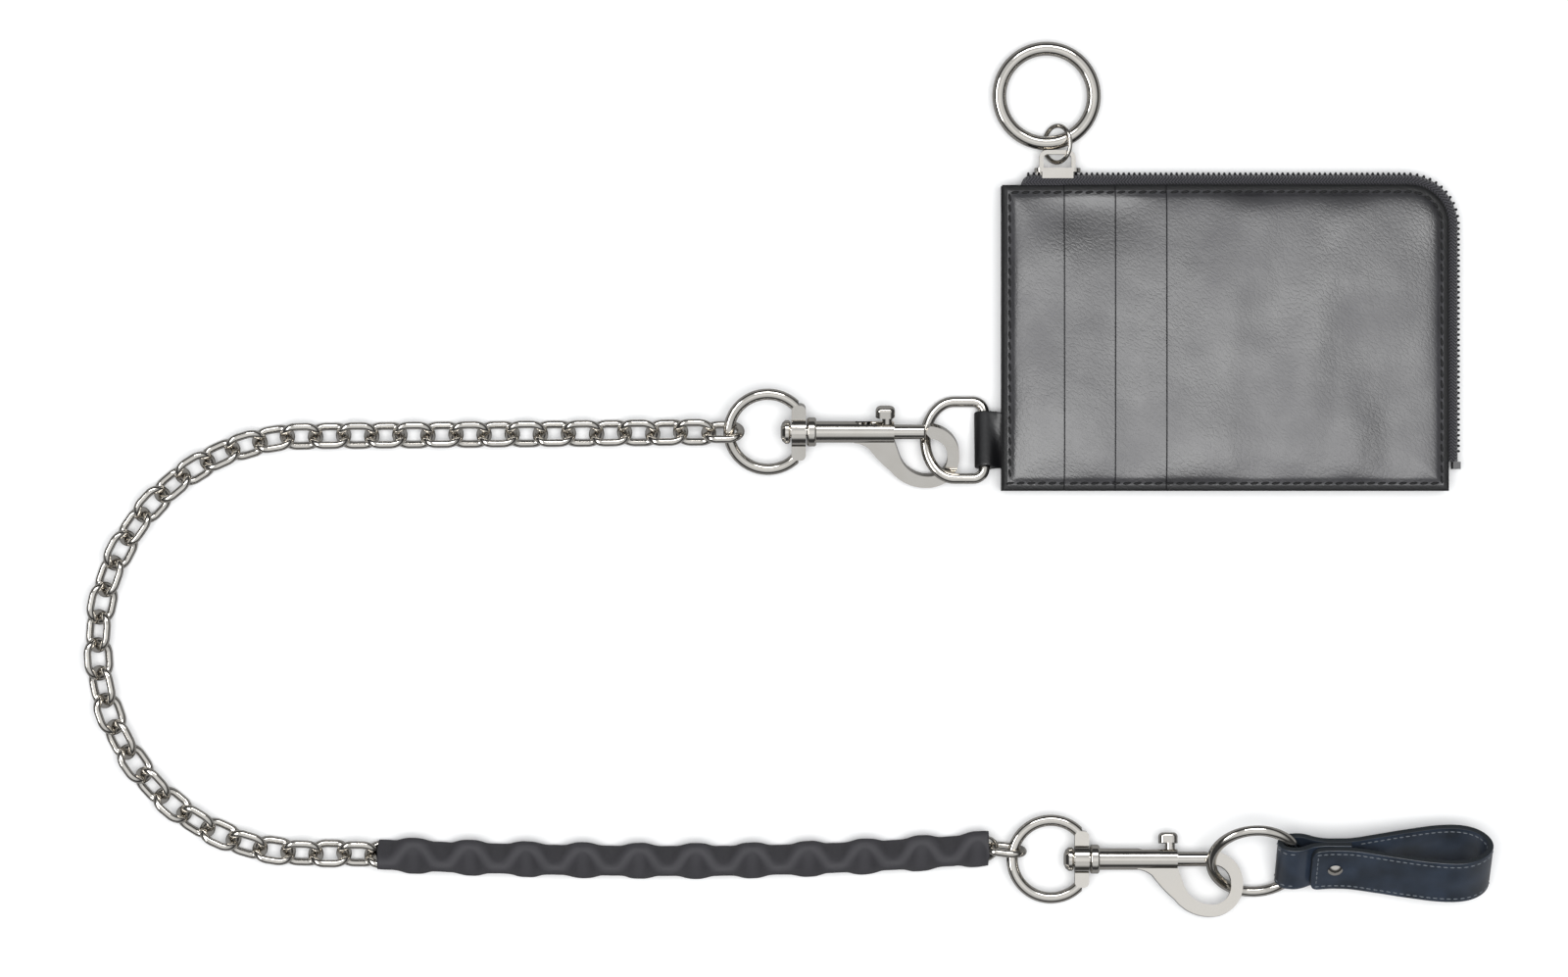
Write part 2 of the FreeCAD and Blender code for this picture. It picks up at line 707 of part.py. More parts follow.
def eye_frame(index):
    """Frame of a snap's eye, which has its own turn on the swivel."""
    tilt = mm("first_eye_tilt") if index == 1 else 0.0
    return Placement(snap_frame(index).Base, Rotation(X_AXIS, tilt))


def hook_plate():
    """Flat hook: from under the barrel, round the bow, up to the bolt's end."""
    thick = mm("hook_thickness")
    root_left = Vector(11.4, -1.6, 0)
    under_left = Vector(11.4, -3.1, 0)
    blend_end = Vector(15.9, -4.9, 0)
    outside_low = Vector(22.6, -12.2, 0)
    outside_bottom = Vector(33.6, -17.4, 0)
    outside_right = Vector(43.2, -7.6, 0)
    tip_outside = Vector(34.4, 2.25, 0)
    tip_inside = Vector(33.2, -0.2, 0)
    tip_lower = Vector(34.6, -1.75, 0)
    inside_right = Vector(39.6, -7.4, 0)
    inside_bottom = Vector(33.6, -13.8, 0)
    inside_left = Vector(25.2, -7.4, 0)
    root_right = Vector(23.5, -2.4, 0)
    root_top = Vector(23.5, -1.6, 0)
    outline = [Part.LineSegment(root_left, under_left),
               Part.Arc(under_left, Vector(13.9, -3.7, 0), blend_end),
               Part.Arc(blend_end, Vector(19.0, -8.7, 0), outside_low),
               Part.Arc(outside_low, Vector(27.6, -16.2, 0), outside_bottom),
               Part.Arc(outside_bottom, Vector(40.8, -14.2, 0), outside_right),
               Part.Arc(outside_right, Vector(40.6, -0.6, 0), tip_outside),
               Part.Arc(tip_outside, Vector(33.45, 1.2, 0), tip_inside),
               Part.LineSegment(tip_inside, tip_lower),
               Part.Arc(tip_lower, Vector(38.3, -3.6, 0), inside_right),
               Part.Arc(inside_right, Vector(38.2, -11.9, 0), inside_bottom),
               Part.Arc(inside_bottom, Vector(28.3, -11.9, 0), inside_left),
               Part.LineSegment(inside_left, root_right),
               Part.LineSegment(root_right, root_top),
               Part.LineSegment(root_top, root_left)]
    wire = Part.Wire([piece.toShape() for piece in outline])
    blank = Part.Face(wire)
    blank.translate(Vector(0, 0, -thick / 2))
    return blank.extrude(Vector(0, 0, thick))


def snap_case_shape():
    """Cast case: collar, barrel with its bore and thumb slot, and the hook."""
    length = mm("barrel_length")
    radius = mm("barrel_diameter") / 2
    bore = mm("bolt_diameter") / 2 + mm("bolt_clearance")
    collar = mm("collar_length")
    collar_radius = mm("collar_diameter") / 2
    barrel = Part.makeCylinder(radius, length, Vector(), X_AXIS)
    flange = Part.makeCylinder(collar_radius, collar, Vector(-collar, 0, 0), X_AXIS)
    flange = flange.makeFillet(0.7, [edge for edge in flange.Edges if edge.Closed])
    case = barrel.fuse([flange, hook_plate()])
    case = case.cut([Part.makeCylinder(bore, length, Vector(2.4, 0, 0), X_AXIS),
                     thumb_slot(), rivet_shank(0.0, 0.05)])
    return case.removeSplitter()


def thumb_slot():
    """Slot along the barrel's upper side for the thumb piece's stem, open at the front."""
    half = KNOB_STEM_RADIUS + 0.12
    rear = KNOB_STEM_X - mm("bolt_travel")
    slot = box_shape(rear, mm("barrel_length") + 1.0, 0.0, 8.0, -half, half)
    return slot.fuse(Part.makeCylinder(half, 8.0, Vector(rear, 0, 0), Y_AXIS))


def rivet_shank(head_gap, play):
    """The swivel rivet's shank, from inside the collar out through the hub bar."""
    reach = mm("hub_length") + 0.7 + head_gap
    return Part.makeCylinder(mm("rivet_shank_diameter") / 2 + play,
                             mm("collar_length") + reach - play * 4,
                             Vector(-mm("collar_length") - reach + play * 2, 0, 0), X_AXIS)


KNOB_STEM_RADIUS = 1.5
KNOB_STEM_X = 21.4
KNOB_STEM_TOP = 5.2
KNOB_STEM_SINK = 0.6
KNOB_HEAD_X = 20.8
KNOB_FOOT = 4.85
KNOB_TOP = 8.0
KNOB_HALF_LENGTH = 2.9
KNOB_HALF_WIDTH = 2.2
KNOB_CORNER = 1.9
KNOB_CROWN = 1.2
EYE_CENTRE_X = -14.6
HUB_CORNER = 1.6
HUB_GAP = 0.35
RUNNING_FIT = 0.05


def rivet_points():
    """Profile of the swivel rivet: mushroom head inside the eye and a shank to the collar."""
    shank = size("rivet_shank_diameter") / 2
    head = size("rivet_head_diameter") / 2
    shoulder = -size("collar_length") - HUB_GAP * 2 - size("hub_length")
    return [(shoulder - 2.9, ZERO), (shoulder - 2.9, head * 0.45), (shoulder - 2.4, head * 0.8),
            (shoulder - 1.5, head), (shoulder - 0.5, head), (shoulder, head * 0.86),
            (shoulder, shank), (-size("collar_length") + 2.6, shank),
            (-size("collar_length") + 2.6, ZERO)]


def bolt_points():
    """Profile of the sliding bolt: nose, shaft and a thin tail for the spring."""
    radius = size("bolt_diameter") / 2
    nose = size("barrel_length") + size("bolt_reach") - 0.1
    shoulder = size("barrel_length") - size("bolt_inside")
    return [(shoulder - 3.0, ZERO), (shoulder - 3.0, ZERO + 0.8), (shoulder, ZERO + 0.8),
            (shoulder, radius), (nose - 0.35, radius), (nose, radius - 0.35), (nose, ZERO)]


def spring_points():
    """The bolt spring as a plain sleeve of its outside and inside diameters."""
    front = size("barrel_length") - size("bolt_inside") - 0.05
    back = Size(2.55, "2.55")
    inner = Size(1.2, "1.2")
    outer = size("bolt_diameter") / 2 - 0.15
    return [(back, inner), (front, inner), (front, outer), (back, outer)]


def thumb_piece_shape():
    """Thumb piece: a short stem in the bolt and a broad rounded head."""
    bolt_radius = mm("bolt_diameter") / 2
    stem_foot = bolt_radius - KNOB_STEM_SINK
    stem = Part.makeCylinder(KNOB_STEM_RADIUS, KNOB_STEM_TOP - stem_foot,
                             Vector(KNOB_STEM_X, stem_foot, 0), Y_AXIS)
    stem = stem.cut(Part.makeCylinder(bolt_radius, 12.0, Vector(KNOB_STEM_X - 6, 0, 0), X_AXIS))
    head = box_shape(KNOB_HEAD_X - KNOB_HALF_LENGTH, KNOB_HEAD_X + KNOB_HALF_LENGTH,
                     KNOB_FOOT, KNOB_TOP, -KNOB_HALF_WIDTH, KNOB_HALF_WIDTH)
    upright = [e for e in head.Edges if abs(e.tangentAt(e.FirstParameter).y) > 0.99]
    head = head.makeFillet(KNOB_CORNER, upright)
    upper = [e for e in head.Edges if e.BoundBox.YMin > KNOB_TOP - 0.01]
    head = head.makeFillet(KNOB_CROWN, upper)
    return stem.fuse(head).removeSplitter()


def eye_shape():
    """Swivel eye: a round bow whose front is a straight hub bar with a bored boss."""
    wire = mm("eye_wire")
    radius = (mm("eye_outer") - wire) / 2
    hub_front = -mm("collar_length") - HUB_GAP
    hub_back = hub_front - mm("hub_length")
    ring = Part.makeTorus(radius, wire / 2, Vector(EYE_CENTRE_X, 0, 0), Z_AXIS)
    keep = box_shape(EYE_CENTRE_X - 40, (hub_front + hub_back) / 2, -40, 40, -10, 10)
    bow = ring.common(keep)
    bar_half = math.sqrt(radius ** 2 - ((hub_front + hub_back) / 2 - EYE_CENTRE_X) ** 2) + wire * 0.42
    bar = box_shape(hub_back, hub_front, -bar_half, bar_half, -wire / 2, wire / 2)
    upright = [e for e in bar.Edges if abs(e.tangentAt(e.FirstParameter).z) > 0.99]
    bar = bar.makeFillet(HUB_CORNER, upright)
    boss = Part.makeCylinder(mm("hub_diameter") / 2, mm("hub_length"),
                             Vector(hub_back, 0, 0), X_AXIS)
    eye = bow.fuse([bar, boss])
    bore = Part.makeCylinder(mm("rivet_shank_diameter") / 2 + RUNNING_FIT, 20,
                             Vector(-20, 0, 0), X_AXIS)
    return eye.cut(bore).removeSplitter()


def build_snap(doc, index):
    """One bolt snap: eye, swivel rivet, case, bolt, thumb piece and spring."""
    frame = snap_frame(index)
    name = "snap_%d_" % index
    parts = [shape_feature(doc, name + "eye", eye_shape(), eye_frame(index))]
    rivet = solid_of_revolution(doc, name + "rivet", rivet_points())
    bolt = solid_of_revolution(doc, name + "bolt", bolt_points())
    spring = solid_of_revolution(doc, name + "spring", spring_points())
    for body in (rivet, bolt, spring):
        body.Placement = frame
    parts += [rivet, bolt, spring]
    parts.append(shape_feature(doc, name + "case", snap_case_shape(), frame))
    parts.append(shape_feature(doc, name + "thumb_piece", thumb_piece_shape(), frame))
    return parts


# ---------------------------------------------------------------- chain

def link_shape():
    """One oval link: two half rounds and two straight sides, in its own XY plane."""
    wire = mm("link_wire") / 2
    bend = mm("link_width") / 2 - wire
    straight = mm("link_length") / 2 - wire - bend
    right_end = Part.makeTorus(bend, wire, Vector(), Z_AXIS, 0, 360, 180)
    right_end.rotate(Vector(), Z_AXIS, -90)
    right_end.translate(Vector(straight, 0, 0))
    left_end = Part.makeTorus(bend, wire, Vector(), Z_AXIS, 0, 360, 180)
    left_end.rotate(Vector(), Z_AXIS, 90)
    left_end.translate(Vector(-straight, 0, 0))
    sides = [Part.makeCylinder(wire, 2 * straight, Vector(-straight, y, 0), X_AXIS)
             for y in (bend, -bend)]
    return right_end.fuse([left_end] + sides).removeSplitter()


VISIBLE_LINKS = 41
SLEEVED_LINKS = 22
FIRST_SEGMENT = 1
SEGMENT_LINKS = 4
FIRST_LINK_X = -151.45
FIRST_LINK_ROLL = 57.0
LEAST_ROLL_STEP = 62.0
END_LINK_DROP = 1.0
END_LINK_DIP = 0.25
END_LINK_SHIFT = 0.12
FIRST_HEADING = 180.55
LAST_HEADING = 359.3
BEND_START = 130.9
DESCENT_LINKS = 4
RISING_LINKS = 3


def chain_points():
    """Joints between links: a straight run, a half-round bend and the run to the sleeve."""
    pitch = mm("link_pitch")
    points = []
    spot = Vector(FIRST_LINK_X + pitch / 2, -mm("snap_drop"), mm("snap_rise"))
    points.append(spot)
    drop = mm("snap_rise") - mm("chain_height")
    for index in range(VISIBLE_LINKS):
        past_bend_start = max((index + 0.5) * pitch - BEND_START, 0.0)
        turned = math.degrees(past_bend_start / mm("bend_radius"))
        heading = min(FIRST_HEADING + turned, LAST_HEADING)
        step = Vector(math.cos(math.radians(heading)), math.sin(math.radians(heading)), 0)
        share = min((index + 0.5) / DESCENT_LINKS, 1.0)
        climb = max(index - VISIBLE_LINKS + RISING_LINKS + 1, 0) / RISING_LINKS
        height = mm("snap_rise") - drop * share
        height += (mm("sleeve_height") - mm("chain_height")) * climb
        spot = Vector(spot.x, spot.y, 0) + step * pitch
        spot.z = height
        points.append(spot)
    return points


def hidden_points(start):
    """Joints between the links inside the sleeve, on its centre line."""
    points = [start]
    end = end_link_joint()
    count = SLEEVED_LINKS
    for index in range(1, count + 1):
        share = index / count
        x = start.x + (end.x - start.x) * share
        points.append(Vector(x, sleeve_line(x), mm("sleeve_height")))
    return points


def sleeve_line(x):
    """Y of the sleeve's centre line: two long arcs that meet at its lowest point."""
    low_x = -163.0
    low_y = -158.0
    left_radius = 2144.0
    right_radius = 1094.0
    radius = left_radius if x < low_x else right_radius
    return low_y + (x - low_x) ** 2 / (2 * radius)


def end_link_joint():
    """Where the last sleeved link meets the end link."""
    x = -mm("end_link_left") - mm("link_pitch") / 2
    return Vector(x, sleeve_line(x), mm("sleeve_height"))


def placed_link(pattern, start, finish, roll):
    """A link between two joints, rolled about its own run."""
    run = (finish - start).normalize()
    side = Z_AXIS.cross(run).normalize()
    up = run.cross(side)
    turn = Rotation(run, side, up, "XYZ").multiply(Rotation(X_AXIS, roll))
    link = pattern.copy()
    link.Placement = Placement((start + finish) * 0.5, turn)
    return link


def build_chain(doc):
    """Visible links in short segments, the sleeved links and the end link."""
    pattern = link_shape()
    roll = mm("link_roll")
    points = chain_points()
    links = []
    for index in range(VISIBLE_LINKS):
        angle = roll if index % 2 == 0 else -roll
        if index == 0:
            angle = FIRST_LINK_ROLL
        links.append(placed_link(pattern, points[index], points[index + 1], angle))
    parts = []
    first = 0
    segment = 1
    while first < VISIBLE_LINKS:
        last = first + (FIRST_SEGMENT if segment == 1 else SEGMENT_LINKS)
        group = Part.makeCompound(links[first:last])
        parts.append(shape_feature(doc, "chain_%02d" % segment, group))
        first = last
        segment += 1
    hidden = hidden_points(points[-1])
    inside = []
    for index in range(SLEEVED_LINKS):
        angle = roll if (VISIBLE_LINKS + index) % 2 == 0 else -roll
        if index == SLEEVED_LINKS - 1:
            angle = mm("end_link_roll") - LEAST_ROLL_STEP
        inside.append(placed_link(pattern, hidden[index], hidden[index + 1], angle))
    parts.append(shape_feature(doc, "sleeved_links", Part.makeCompound(inside)))
    parts.append(build_end_link(doc, pattern))
    parts.append(build_sleeve(doc))
    return parts


def build_end_link(doc, pattern):
    """The last link, standing on edge between the sleeve and the second eye."""
    start = end_link_joint() - Vector(END_LINK_SHIFT, 0, END_LINK_DIP)
    reach = mm("link_pitch") / 2
    rise = 2 * (mm("end_link_rise") - start.z)
    finish = start + Vector(2 * reach, -END_LINK_DROP, rise)
    link = placed_link(pattern, start, finish, mm("end_link_roll"))
    return shape_feature(doc, "end_link", Part.makeCompound([link]))


def rounded_square(half, radius, origin):
    """A rounded square across X at a point."""
    box = Part.makeBox(1.0, 2 * half, 2 * half, Vector(0, -half, -half))
    long_edges = [e for e in box.Edges if abs(e.tangentAt(e.FirstParameter).x) > 0.99]
    box = box.makeFillet(radius, long_edges)
    face = next(f for f in box.Faces if f.BoundBox.XMax < 0.001)
    wire = face.OuterWire.copy()
    wire.translate(origin)
    return wire


def build_sleeve(doc):
    """Rubber sleeve shrunk over the lower run, a tube along two long arcs."""
    left = -mm("sleeve_left")
    right = -mm("sleeve_right")
    low = -163.0
    z = mm("sleeve_height")
    half = mm("sleeve_width") / 2
    wall = mm("sleeve_wall")
    corner = 2.2

    def spot(x):
        return Vector(x, sleeve_line(x), z)

    path = Part.Wire([Part.Arc(spot(left), spot((left + low) / 2), spot(low)).toShape(),
                      Part.Arc(spot(low), spot((low + right) / 2), spot(right)).toShape()])
    outer = path.makePipeShell([rounded_square(half, corner, spot(left))], True, False, 2)
    inner = path.makePipeShell([rounded_square(half - wall, corner - wall, spot(left))],
                               True, False, 2)
    return shape_feature(doc, "sleeve", outer.cut(inner))


# ---------------------------------------------------------------- belt loop

def belt_frame():
    """Frame of the belt loop: X along the strap, Y through the loop, Z across the strap."""
    return Placement(Vector(mm("belt_ring_right"), -mm("belt_ring_drop"), mm("belt_ring_rise")),
                     Rotation(X_AXIS, 90.0 + mm("belt_tilt")))


STRAP_COURSE = (
    # front run, from its free end over the rivet to the far bend
    (16.6, 3.5), (20.5, 2.98), (24.0, 2.8), (29.0, 3.05), (36.0, 4.45), (46.0, 6.6),
    (56.0, 8.2), (63.0, 7.9), (68.0, 5.2), (70.15, 0.9),
    # back run to the fold
    (68.0, -3.6), (63.0, -6.2), (56.0, -6.5), (46.0, -4.8), (36.0, -2.6), (29.0, -1.1),
    (24.0, -0.9), (20.5, -0.95), (17.2, -1.7), (14.4, -2.75), (11.8, -3.0),
    # fold round the ring, and the tail under the front run
    (8.5, -2.3), (7.1, 0.0), (8.5, 2.3), (11.6, 3.0), (14.2, 2.5), (16.6, 1.42),
    (20.0, 0.88), (24.0, 0.85), (28.5, 0.85),
)


def strap_curve():
    """The strap's centre line as one smooth curve."""
    curve = Part.BSplineCurve()
    curve.interpolate([Vector(x, y, 0) for x, y in STRAP_COURSE])
    return curve


def strap_shape():
    """The strap: a strip of constant thickness along its course, extruded to its width."""
    thick = mm("strap_thickness")
    half_width = mm("strap_width") / 2
    curve = strap_curve()
    samples = 110
    outer_points = []
    inner_points = []
    low, high = curve.FirstParameter, curve.LastParameter
    for index in range(samples + 1):
        at = low + (high - low) * index / samples
        spot = curve.value(at)
        heading = Vector(*curve.tangent(at)[0])
        side = Vector(-heading.y, heading.x, 0)
        outer_points.append(spot + side * (thick / 2))
        inner_points.append(spot - side * (thick / 2))
    outer = Part.BSplineCurve()
    outer.interpolate(outer_points)
    inner = Part.BSplineCurve()
    inner.interpolate(inner_points)
    outline = Part.Wire([outer.toShape(),
                         Part.LineSegment(outer_points[-1], inner_points[-1]).toShape(),
                         inner.toShape(),
                         Part.LineSegment(inner_points[0], outer_points[0]).toShape()])
    face = Part.Face(outline)
    face.translate(Vector(0, 0, -half_width))
    return face.extrude(Vector(0, 0, 2 * half_width))


BELT_RIVET_X = 23.85
BELT_RIVET_SHANK = 1.1


def build_belt_loop(doc):
    """Belt ring, strap, its two-part rivet and its stitching."""
    frame = belt_frame()
    ring = torus(doc, "belt_ring", size("belt_ring_outer"), size("belt_ring_wire"))
    ring.Placement = frame.multiply(Placement(Vector(), Rotation(X_AXIS, 90)))
    strap = strap_shape().cut(Part.makeCylinder(BELT_RIVET_SHANK + 0.02, 12,
                                                Vector(BELT_RIVET_X, -6, 0), Y_AXIS))
    parts = [ring, shape_feature(doc, "belt_strap", strap, frame)]
    cap_radius = mm("cap_diameter") / 2
    seat = 3.95
    cap = Part.makeSphere(3.4, Vector(BELT_RIVET_X, seat - 2.6, 0), Y_AXIS)
    cap = cap.common(Part.makeCylinder(cap_radius, 1.1, Vector(BELT_RIVET_X, seat, 0), Y_AXIS))
    parts.append(shape_feature(doc, "belt_rivet_cap", cap, frame))
    foot_top = -1.8
    post = Part.makeCylinder(BELT_RIVET_SHANK, seat - foot_top, Vector(BELT_RIVET_X, foot_top, 0),
                             Y_AXIS)
    foot = Part.makeCylinder(cap_radius, 0.7, Vector(BELT_RIVET_X, foot_top - 0.7, 0), Y_AXIS)
    parts.append(shape_feature(doc, "belt_rivet_post", post.fuse(foot).removeSplitter(), frame))
    parts.append(build_belt_stitching(doc, frame))
    return parts


def build_belt_stitching(doc, frame):
    """Short threads along both edges of the strap's front run."""
    curve = strap_curve()
    inset = mm("strap_width") / 2 - 1.5
    pitch = mm("belt_stitch_pitch")
    thick = mm("strap_thickness")
    stitches = []
    at = 17.2
    while at < 63.0:
        first = curve_at_x(curve, at)
        second = curve_at_x(curve, at + pitch * 0.7)
        heading = (second - first).normalize()
        side = Vector(-heading.y, heading.x, 0)
        for z in (-inset, inset):
            stitch = Part.makeCylinder(0.2, pitch * 0.7, Vector(), heading)
            stitch.translate(first + side * (thick / 2 + 0.23) + Vector(0, 0, z))
            stitches.append(stitch)
        at += pitch
    return shape_feature(doc, "belt_stitching", Part.makeCompound(stitches), frame)


def curve_at_x(curve, x):
    """Point of the strap's front run at a distance along X."""
    low = curve.FirstParameter
    high = curve.parameter(Vector(STRAP_COURSE[8][0], STRAP_COURSE[8][1], 0))
    for step in range(40):
        middle = (low + high) / 2
        if curve.value(middle).x < x:
            low = middle
        else:
            high = middle
    return curve.value(low)


# ---------------------------------------------------------------- document

def check_document(doc, parts):
    """Stop on any failed object or unusable shape."""
    for item in doc.Objects:
        if "Invalid" in item.State or "Error" in item.State:
            raise RuntimeError("%s failed: %s" % (item.Label, item.State))
    for part in parts:
        shape = part.Shape
        if shape.isNull() or not shape.isValid():
            raise RuntimeError("%s has no valid shape" % part.Label)
        if shape.Volume <= 0 or not shape.Solids:
            raise RuntimeError("%s is not solid" % part.Label)


def main():
    doc = FreeCAD.newDocument("chain_wallet")
    make_sheet(doc)
    parts = build_pouch(doc)
    parts.append(build_stitching(doc))
    parts += build_zip(doc)
    parts += build_slider(doc)
    parts += build_pull(doc)
    parts.append(build_tab(doc))
    parts.append(build_dee(doc))
    for index in (1, 2):
        parts += build_snap(doc, index)
    parts += build_chain(doc)
    parts += build_belt_loop(doc)
    doc.recompute()
    check_document(doc, parts)
    os.makedirs("parts", exist_ok=True)
    for part in parts:
        part.Shape.exportStep(os.path.join("parts", part.Label + ".step"))
        box = part.Shape.BoundBox
        print("%-18s solids %3d volume %9.2f  x %.2f..%.2f  y %.2f..%.2f  z %.2f..%.2f" % (
            part.Label, len(part.Shape.Solids), part.Shape.Volume,
            box.XMin, box.XMax, box.YMin, box.YMax, box.ZMin, box.ZMax))


main()
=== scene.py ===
"""Chain wallet: a zipped card pouch, two snap hooks, a half-sleeved chain and a belt loop."""
import json
import logging
import math
from dataclasses import dataclass
from enum import Enum
from typing import Callable, Sequence

import bmesh
import bpy
import numpy as np
from mathutils import Matrix, Vector, noise


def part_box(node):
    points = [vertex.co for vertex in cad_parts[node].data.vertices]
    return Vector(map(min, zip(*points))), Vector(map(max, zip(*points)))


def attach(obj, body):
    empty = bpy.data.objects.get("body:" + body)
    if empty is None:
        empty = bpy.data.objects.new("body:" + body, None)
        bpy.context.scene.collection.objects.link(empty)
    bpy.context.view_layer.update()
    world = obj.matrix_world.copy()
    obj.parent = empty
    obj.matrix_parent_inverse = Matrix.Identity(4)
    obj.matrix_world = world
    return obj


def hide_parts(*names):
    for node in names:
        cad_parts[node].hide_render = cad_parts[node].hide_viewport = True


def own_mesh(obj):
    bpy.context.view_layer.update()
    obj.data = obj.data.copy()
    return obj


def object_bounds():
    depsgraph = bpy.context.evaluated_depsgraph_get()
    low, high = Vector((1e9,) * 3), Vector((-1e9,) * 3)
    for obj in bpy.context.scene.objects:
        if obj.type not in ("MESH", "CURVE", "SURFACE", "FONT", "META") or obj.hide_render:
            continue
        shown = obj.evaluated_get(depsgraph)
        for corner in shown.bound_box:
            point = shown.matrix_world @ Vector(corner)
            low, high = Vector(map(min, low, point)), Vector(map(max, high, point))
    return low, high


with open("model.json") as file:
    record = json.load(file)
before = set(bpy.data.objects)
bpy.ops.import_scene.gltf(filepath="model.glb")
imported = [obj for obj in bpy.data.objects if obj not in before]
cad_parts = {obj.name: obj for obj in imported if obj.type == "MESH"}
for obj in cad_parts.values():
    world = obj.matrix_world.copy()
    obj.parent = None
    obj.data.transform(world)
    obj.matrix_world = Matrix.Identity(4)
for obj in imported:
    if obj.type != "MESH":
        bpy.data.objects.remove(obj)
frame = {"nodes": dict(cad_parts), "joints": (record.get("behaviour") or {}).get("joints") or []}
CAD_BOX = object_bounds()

logging.basicConfig(level=logging.INFO, format="%(message)s")
LOG = logging.getLogger("chain_wallet")

Tree = bpy.types.NodeTree
Socket = bpy.types.NodeSocket
Shader = bpy.types.Node
Material = bpy.types.Material
Piece = bpy.types.Object
Mesh = bmesh.types.BMesh

MM = 0.001


class Slot(Enum):
    """The record's material slots, by name."""

    LEATHER = "black_leather"
    BELT = "belt_leather"
    LINING = "lining"
    THREAD = "thread_black"
    GREY_THREAD = "thread_grey"
    TAPE = "zip_tape"
    COIL = "zip_coil"
    SPRING = "spring_steel"
    RUBBER = "sleeve_rubber"


class Face(Enum):
    """Which way a leather sheet's good side looks."""

    UP = 1
    DOWN = -1


# ------------------------------------------------------------------ aids


def linear(hex_colour: str) -> tuple[float, float, float, float]:
    """Turns an sRGB hex colour into linear light.

    Args:
        hex_colour: Six digits after a hash.

    Returns:
        Linear red, green and blue, and an alpha of one.
    """
    shares = [int(hex_colour[at:at + 2], 16) / 255 for at in (1, 3, 5)]
    light = [s / 12.92 if s <= 0.04045 else ((s + 0.055) / 1.055) ** 2.4 for s in shares]
    return (light[0], light[1], light[2], 1.0)


def add_node(
    tree: Tree, kind: str, inputs: dict | None = None, **settings: object
) -> Shader:
    """Adds a shader node with its settings, values and links.

    Args:
        tree: The node tree that takes it.
        kind: The node's type, without its ShaderNode prefix.
        inputs: Values or output sockets, by input name or number.
        **settings: The node's own properties.

    Returns:
        The new node.
    """
    made = tree.nodes.new("ShaderNode" + kind)
    for name, value in settings.items():
        setattr(made, name, value)
    for key, value in (inputs or {}).items():
        if isinstance(value, Socket):
            tree.links.new(value, made.inputs[key])
        else:
            made.inputs[key].default_value = value
    return made


def millimetres(tree: Tree, turn: float = 0.0, stretch: float = 1.0) -> Socket:
    """Gives object coordinates in millimetres, turned about Z and stretched along their own X.

    Args:
        tree: The material's tree.
        turn: Angle in radians.
        stretch: How much longer the pattern is along X.

    Returns:
        The coordinates' socket.
    """
    place = add_node(tree, "TexCoord").outputs["Object"]
    turned = add_node(tree, "Mapping", {"Vector": place, "Rotation": (0, 0, turn)})
    scale = (1000 / stretch, 1000, 1000)
    return add_node(
        tree, "Mapping", {"Vector": turned.outputs[0], "Scale": scale}
    ).outputs[0]


def pattern_map(tree: Tree, scale: tuple = (1, 1, 1)) -> Socket:
    """Gives the piece's own UV map, which runs in millimetres, scaled.

    Args:
        tree: The material's tree.
        scale: The scale along and across.

    Returns:
        The coordinates' socket.
    """
    place = add_node(tree, "TexCoord").outputs["UV"]
    return add_node(tree, "Mapping", {"Vector": place, "Scale": scale}).outputs[0]


def math_node(tree: Tree, operation: str, *values: object) -> Socket:
    """Adds one sum and gives its result.

    Args:
        tree: The material's tree.
        operation: The Math node's operation.
        *values: Numbers or sockets.

    Returns:
        The result's socket.
    """
    return add_node(tree, "Math", dict(enumerate(values)), operation=operation).outputs[0]


def span(
    tree: Tree, value: Socket, low: float, high: float,
    start: float = 0.0, end: float = 1.0,
) -> Socket:
    """Maps a value from start..end to low..high.

    Args:
        tree: The material's tree.
        value: The value's socket.
        low: Result at start.
        high: Result at end.
        start: Lowest value taken.
        end: Highest value taken.

    Returns:
        The result's socket.
    """
    return add_node(tree, "MapRange", {
        "Value": value, "From Min": start, "From Max": end, "To Min": low, "To Max": high,
    }).outputs[0]


def noise_map(
    tree: Tree, place: Socket, scale: float, detail: float = 2.0,
    roughness: float = 0.5,
) -> Socket:
    """Gives soft noise from 0 to 1.

    Args:
        tree: The material's tree.
        place: The coordinates.
        scale: Patterns per millimetre.
        detail: How many finer layers it has.
        roughness: How strong those are.

    Returns:
        The noise's socket.
    """
    return add_node(tree, "TexNoise", {
        "Vector": place, "Scale": scale, "Detail": detail, "Roughness": roughness,
    }).outputs["Fac"]


def colour_mix(
    tree: Tree, share: Socket, first: str, second: str
) -> Socket:
    """Mixes two colours.

    Args:
        tree: The material's tree.
        share: How much of the second there is.
        first: Hex colour at 0.
        second: Hex colour at 1.

    Returns:
        The colour's socket.
    """
    return add_node(
        tree, "Mix", {0: share, 6: linear(first), 7: linear(second)}, data_type="RGBA"
    ).outputs[2]


def bump(
    tree: Tree, height: Socket, strength: float, depth_mm: float
) -> Socket:
    """Turns a height into a bumped normal.

    Args:
        tree: The material's tree.
        height: The height's socket.
        strength: How much of the bump shows.
        depth_mm: Its depth in millimetres.

    Returns:
        The normal's socket.
    """
    return add_node(
        tree, "Bump", {"Height": height, "Strength": strength, "Distance": depth_mm * MM}
    ).outputs[0]


def principled(tree: Tree, inputs: dict) -> Shader:
    """Adds the surface shader.

    Args:
        tree: The material's tree.
        inputs: Its values and links.

    Returns:
        The shader.
    """
    return add_node(tree, "BsdfPrincipled", inputs)


# ------------------------------------------------------------------ finishes


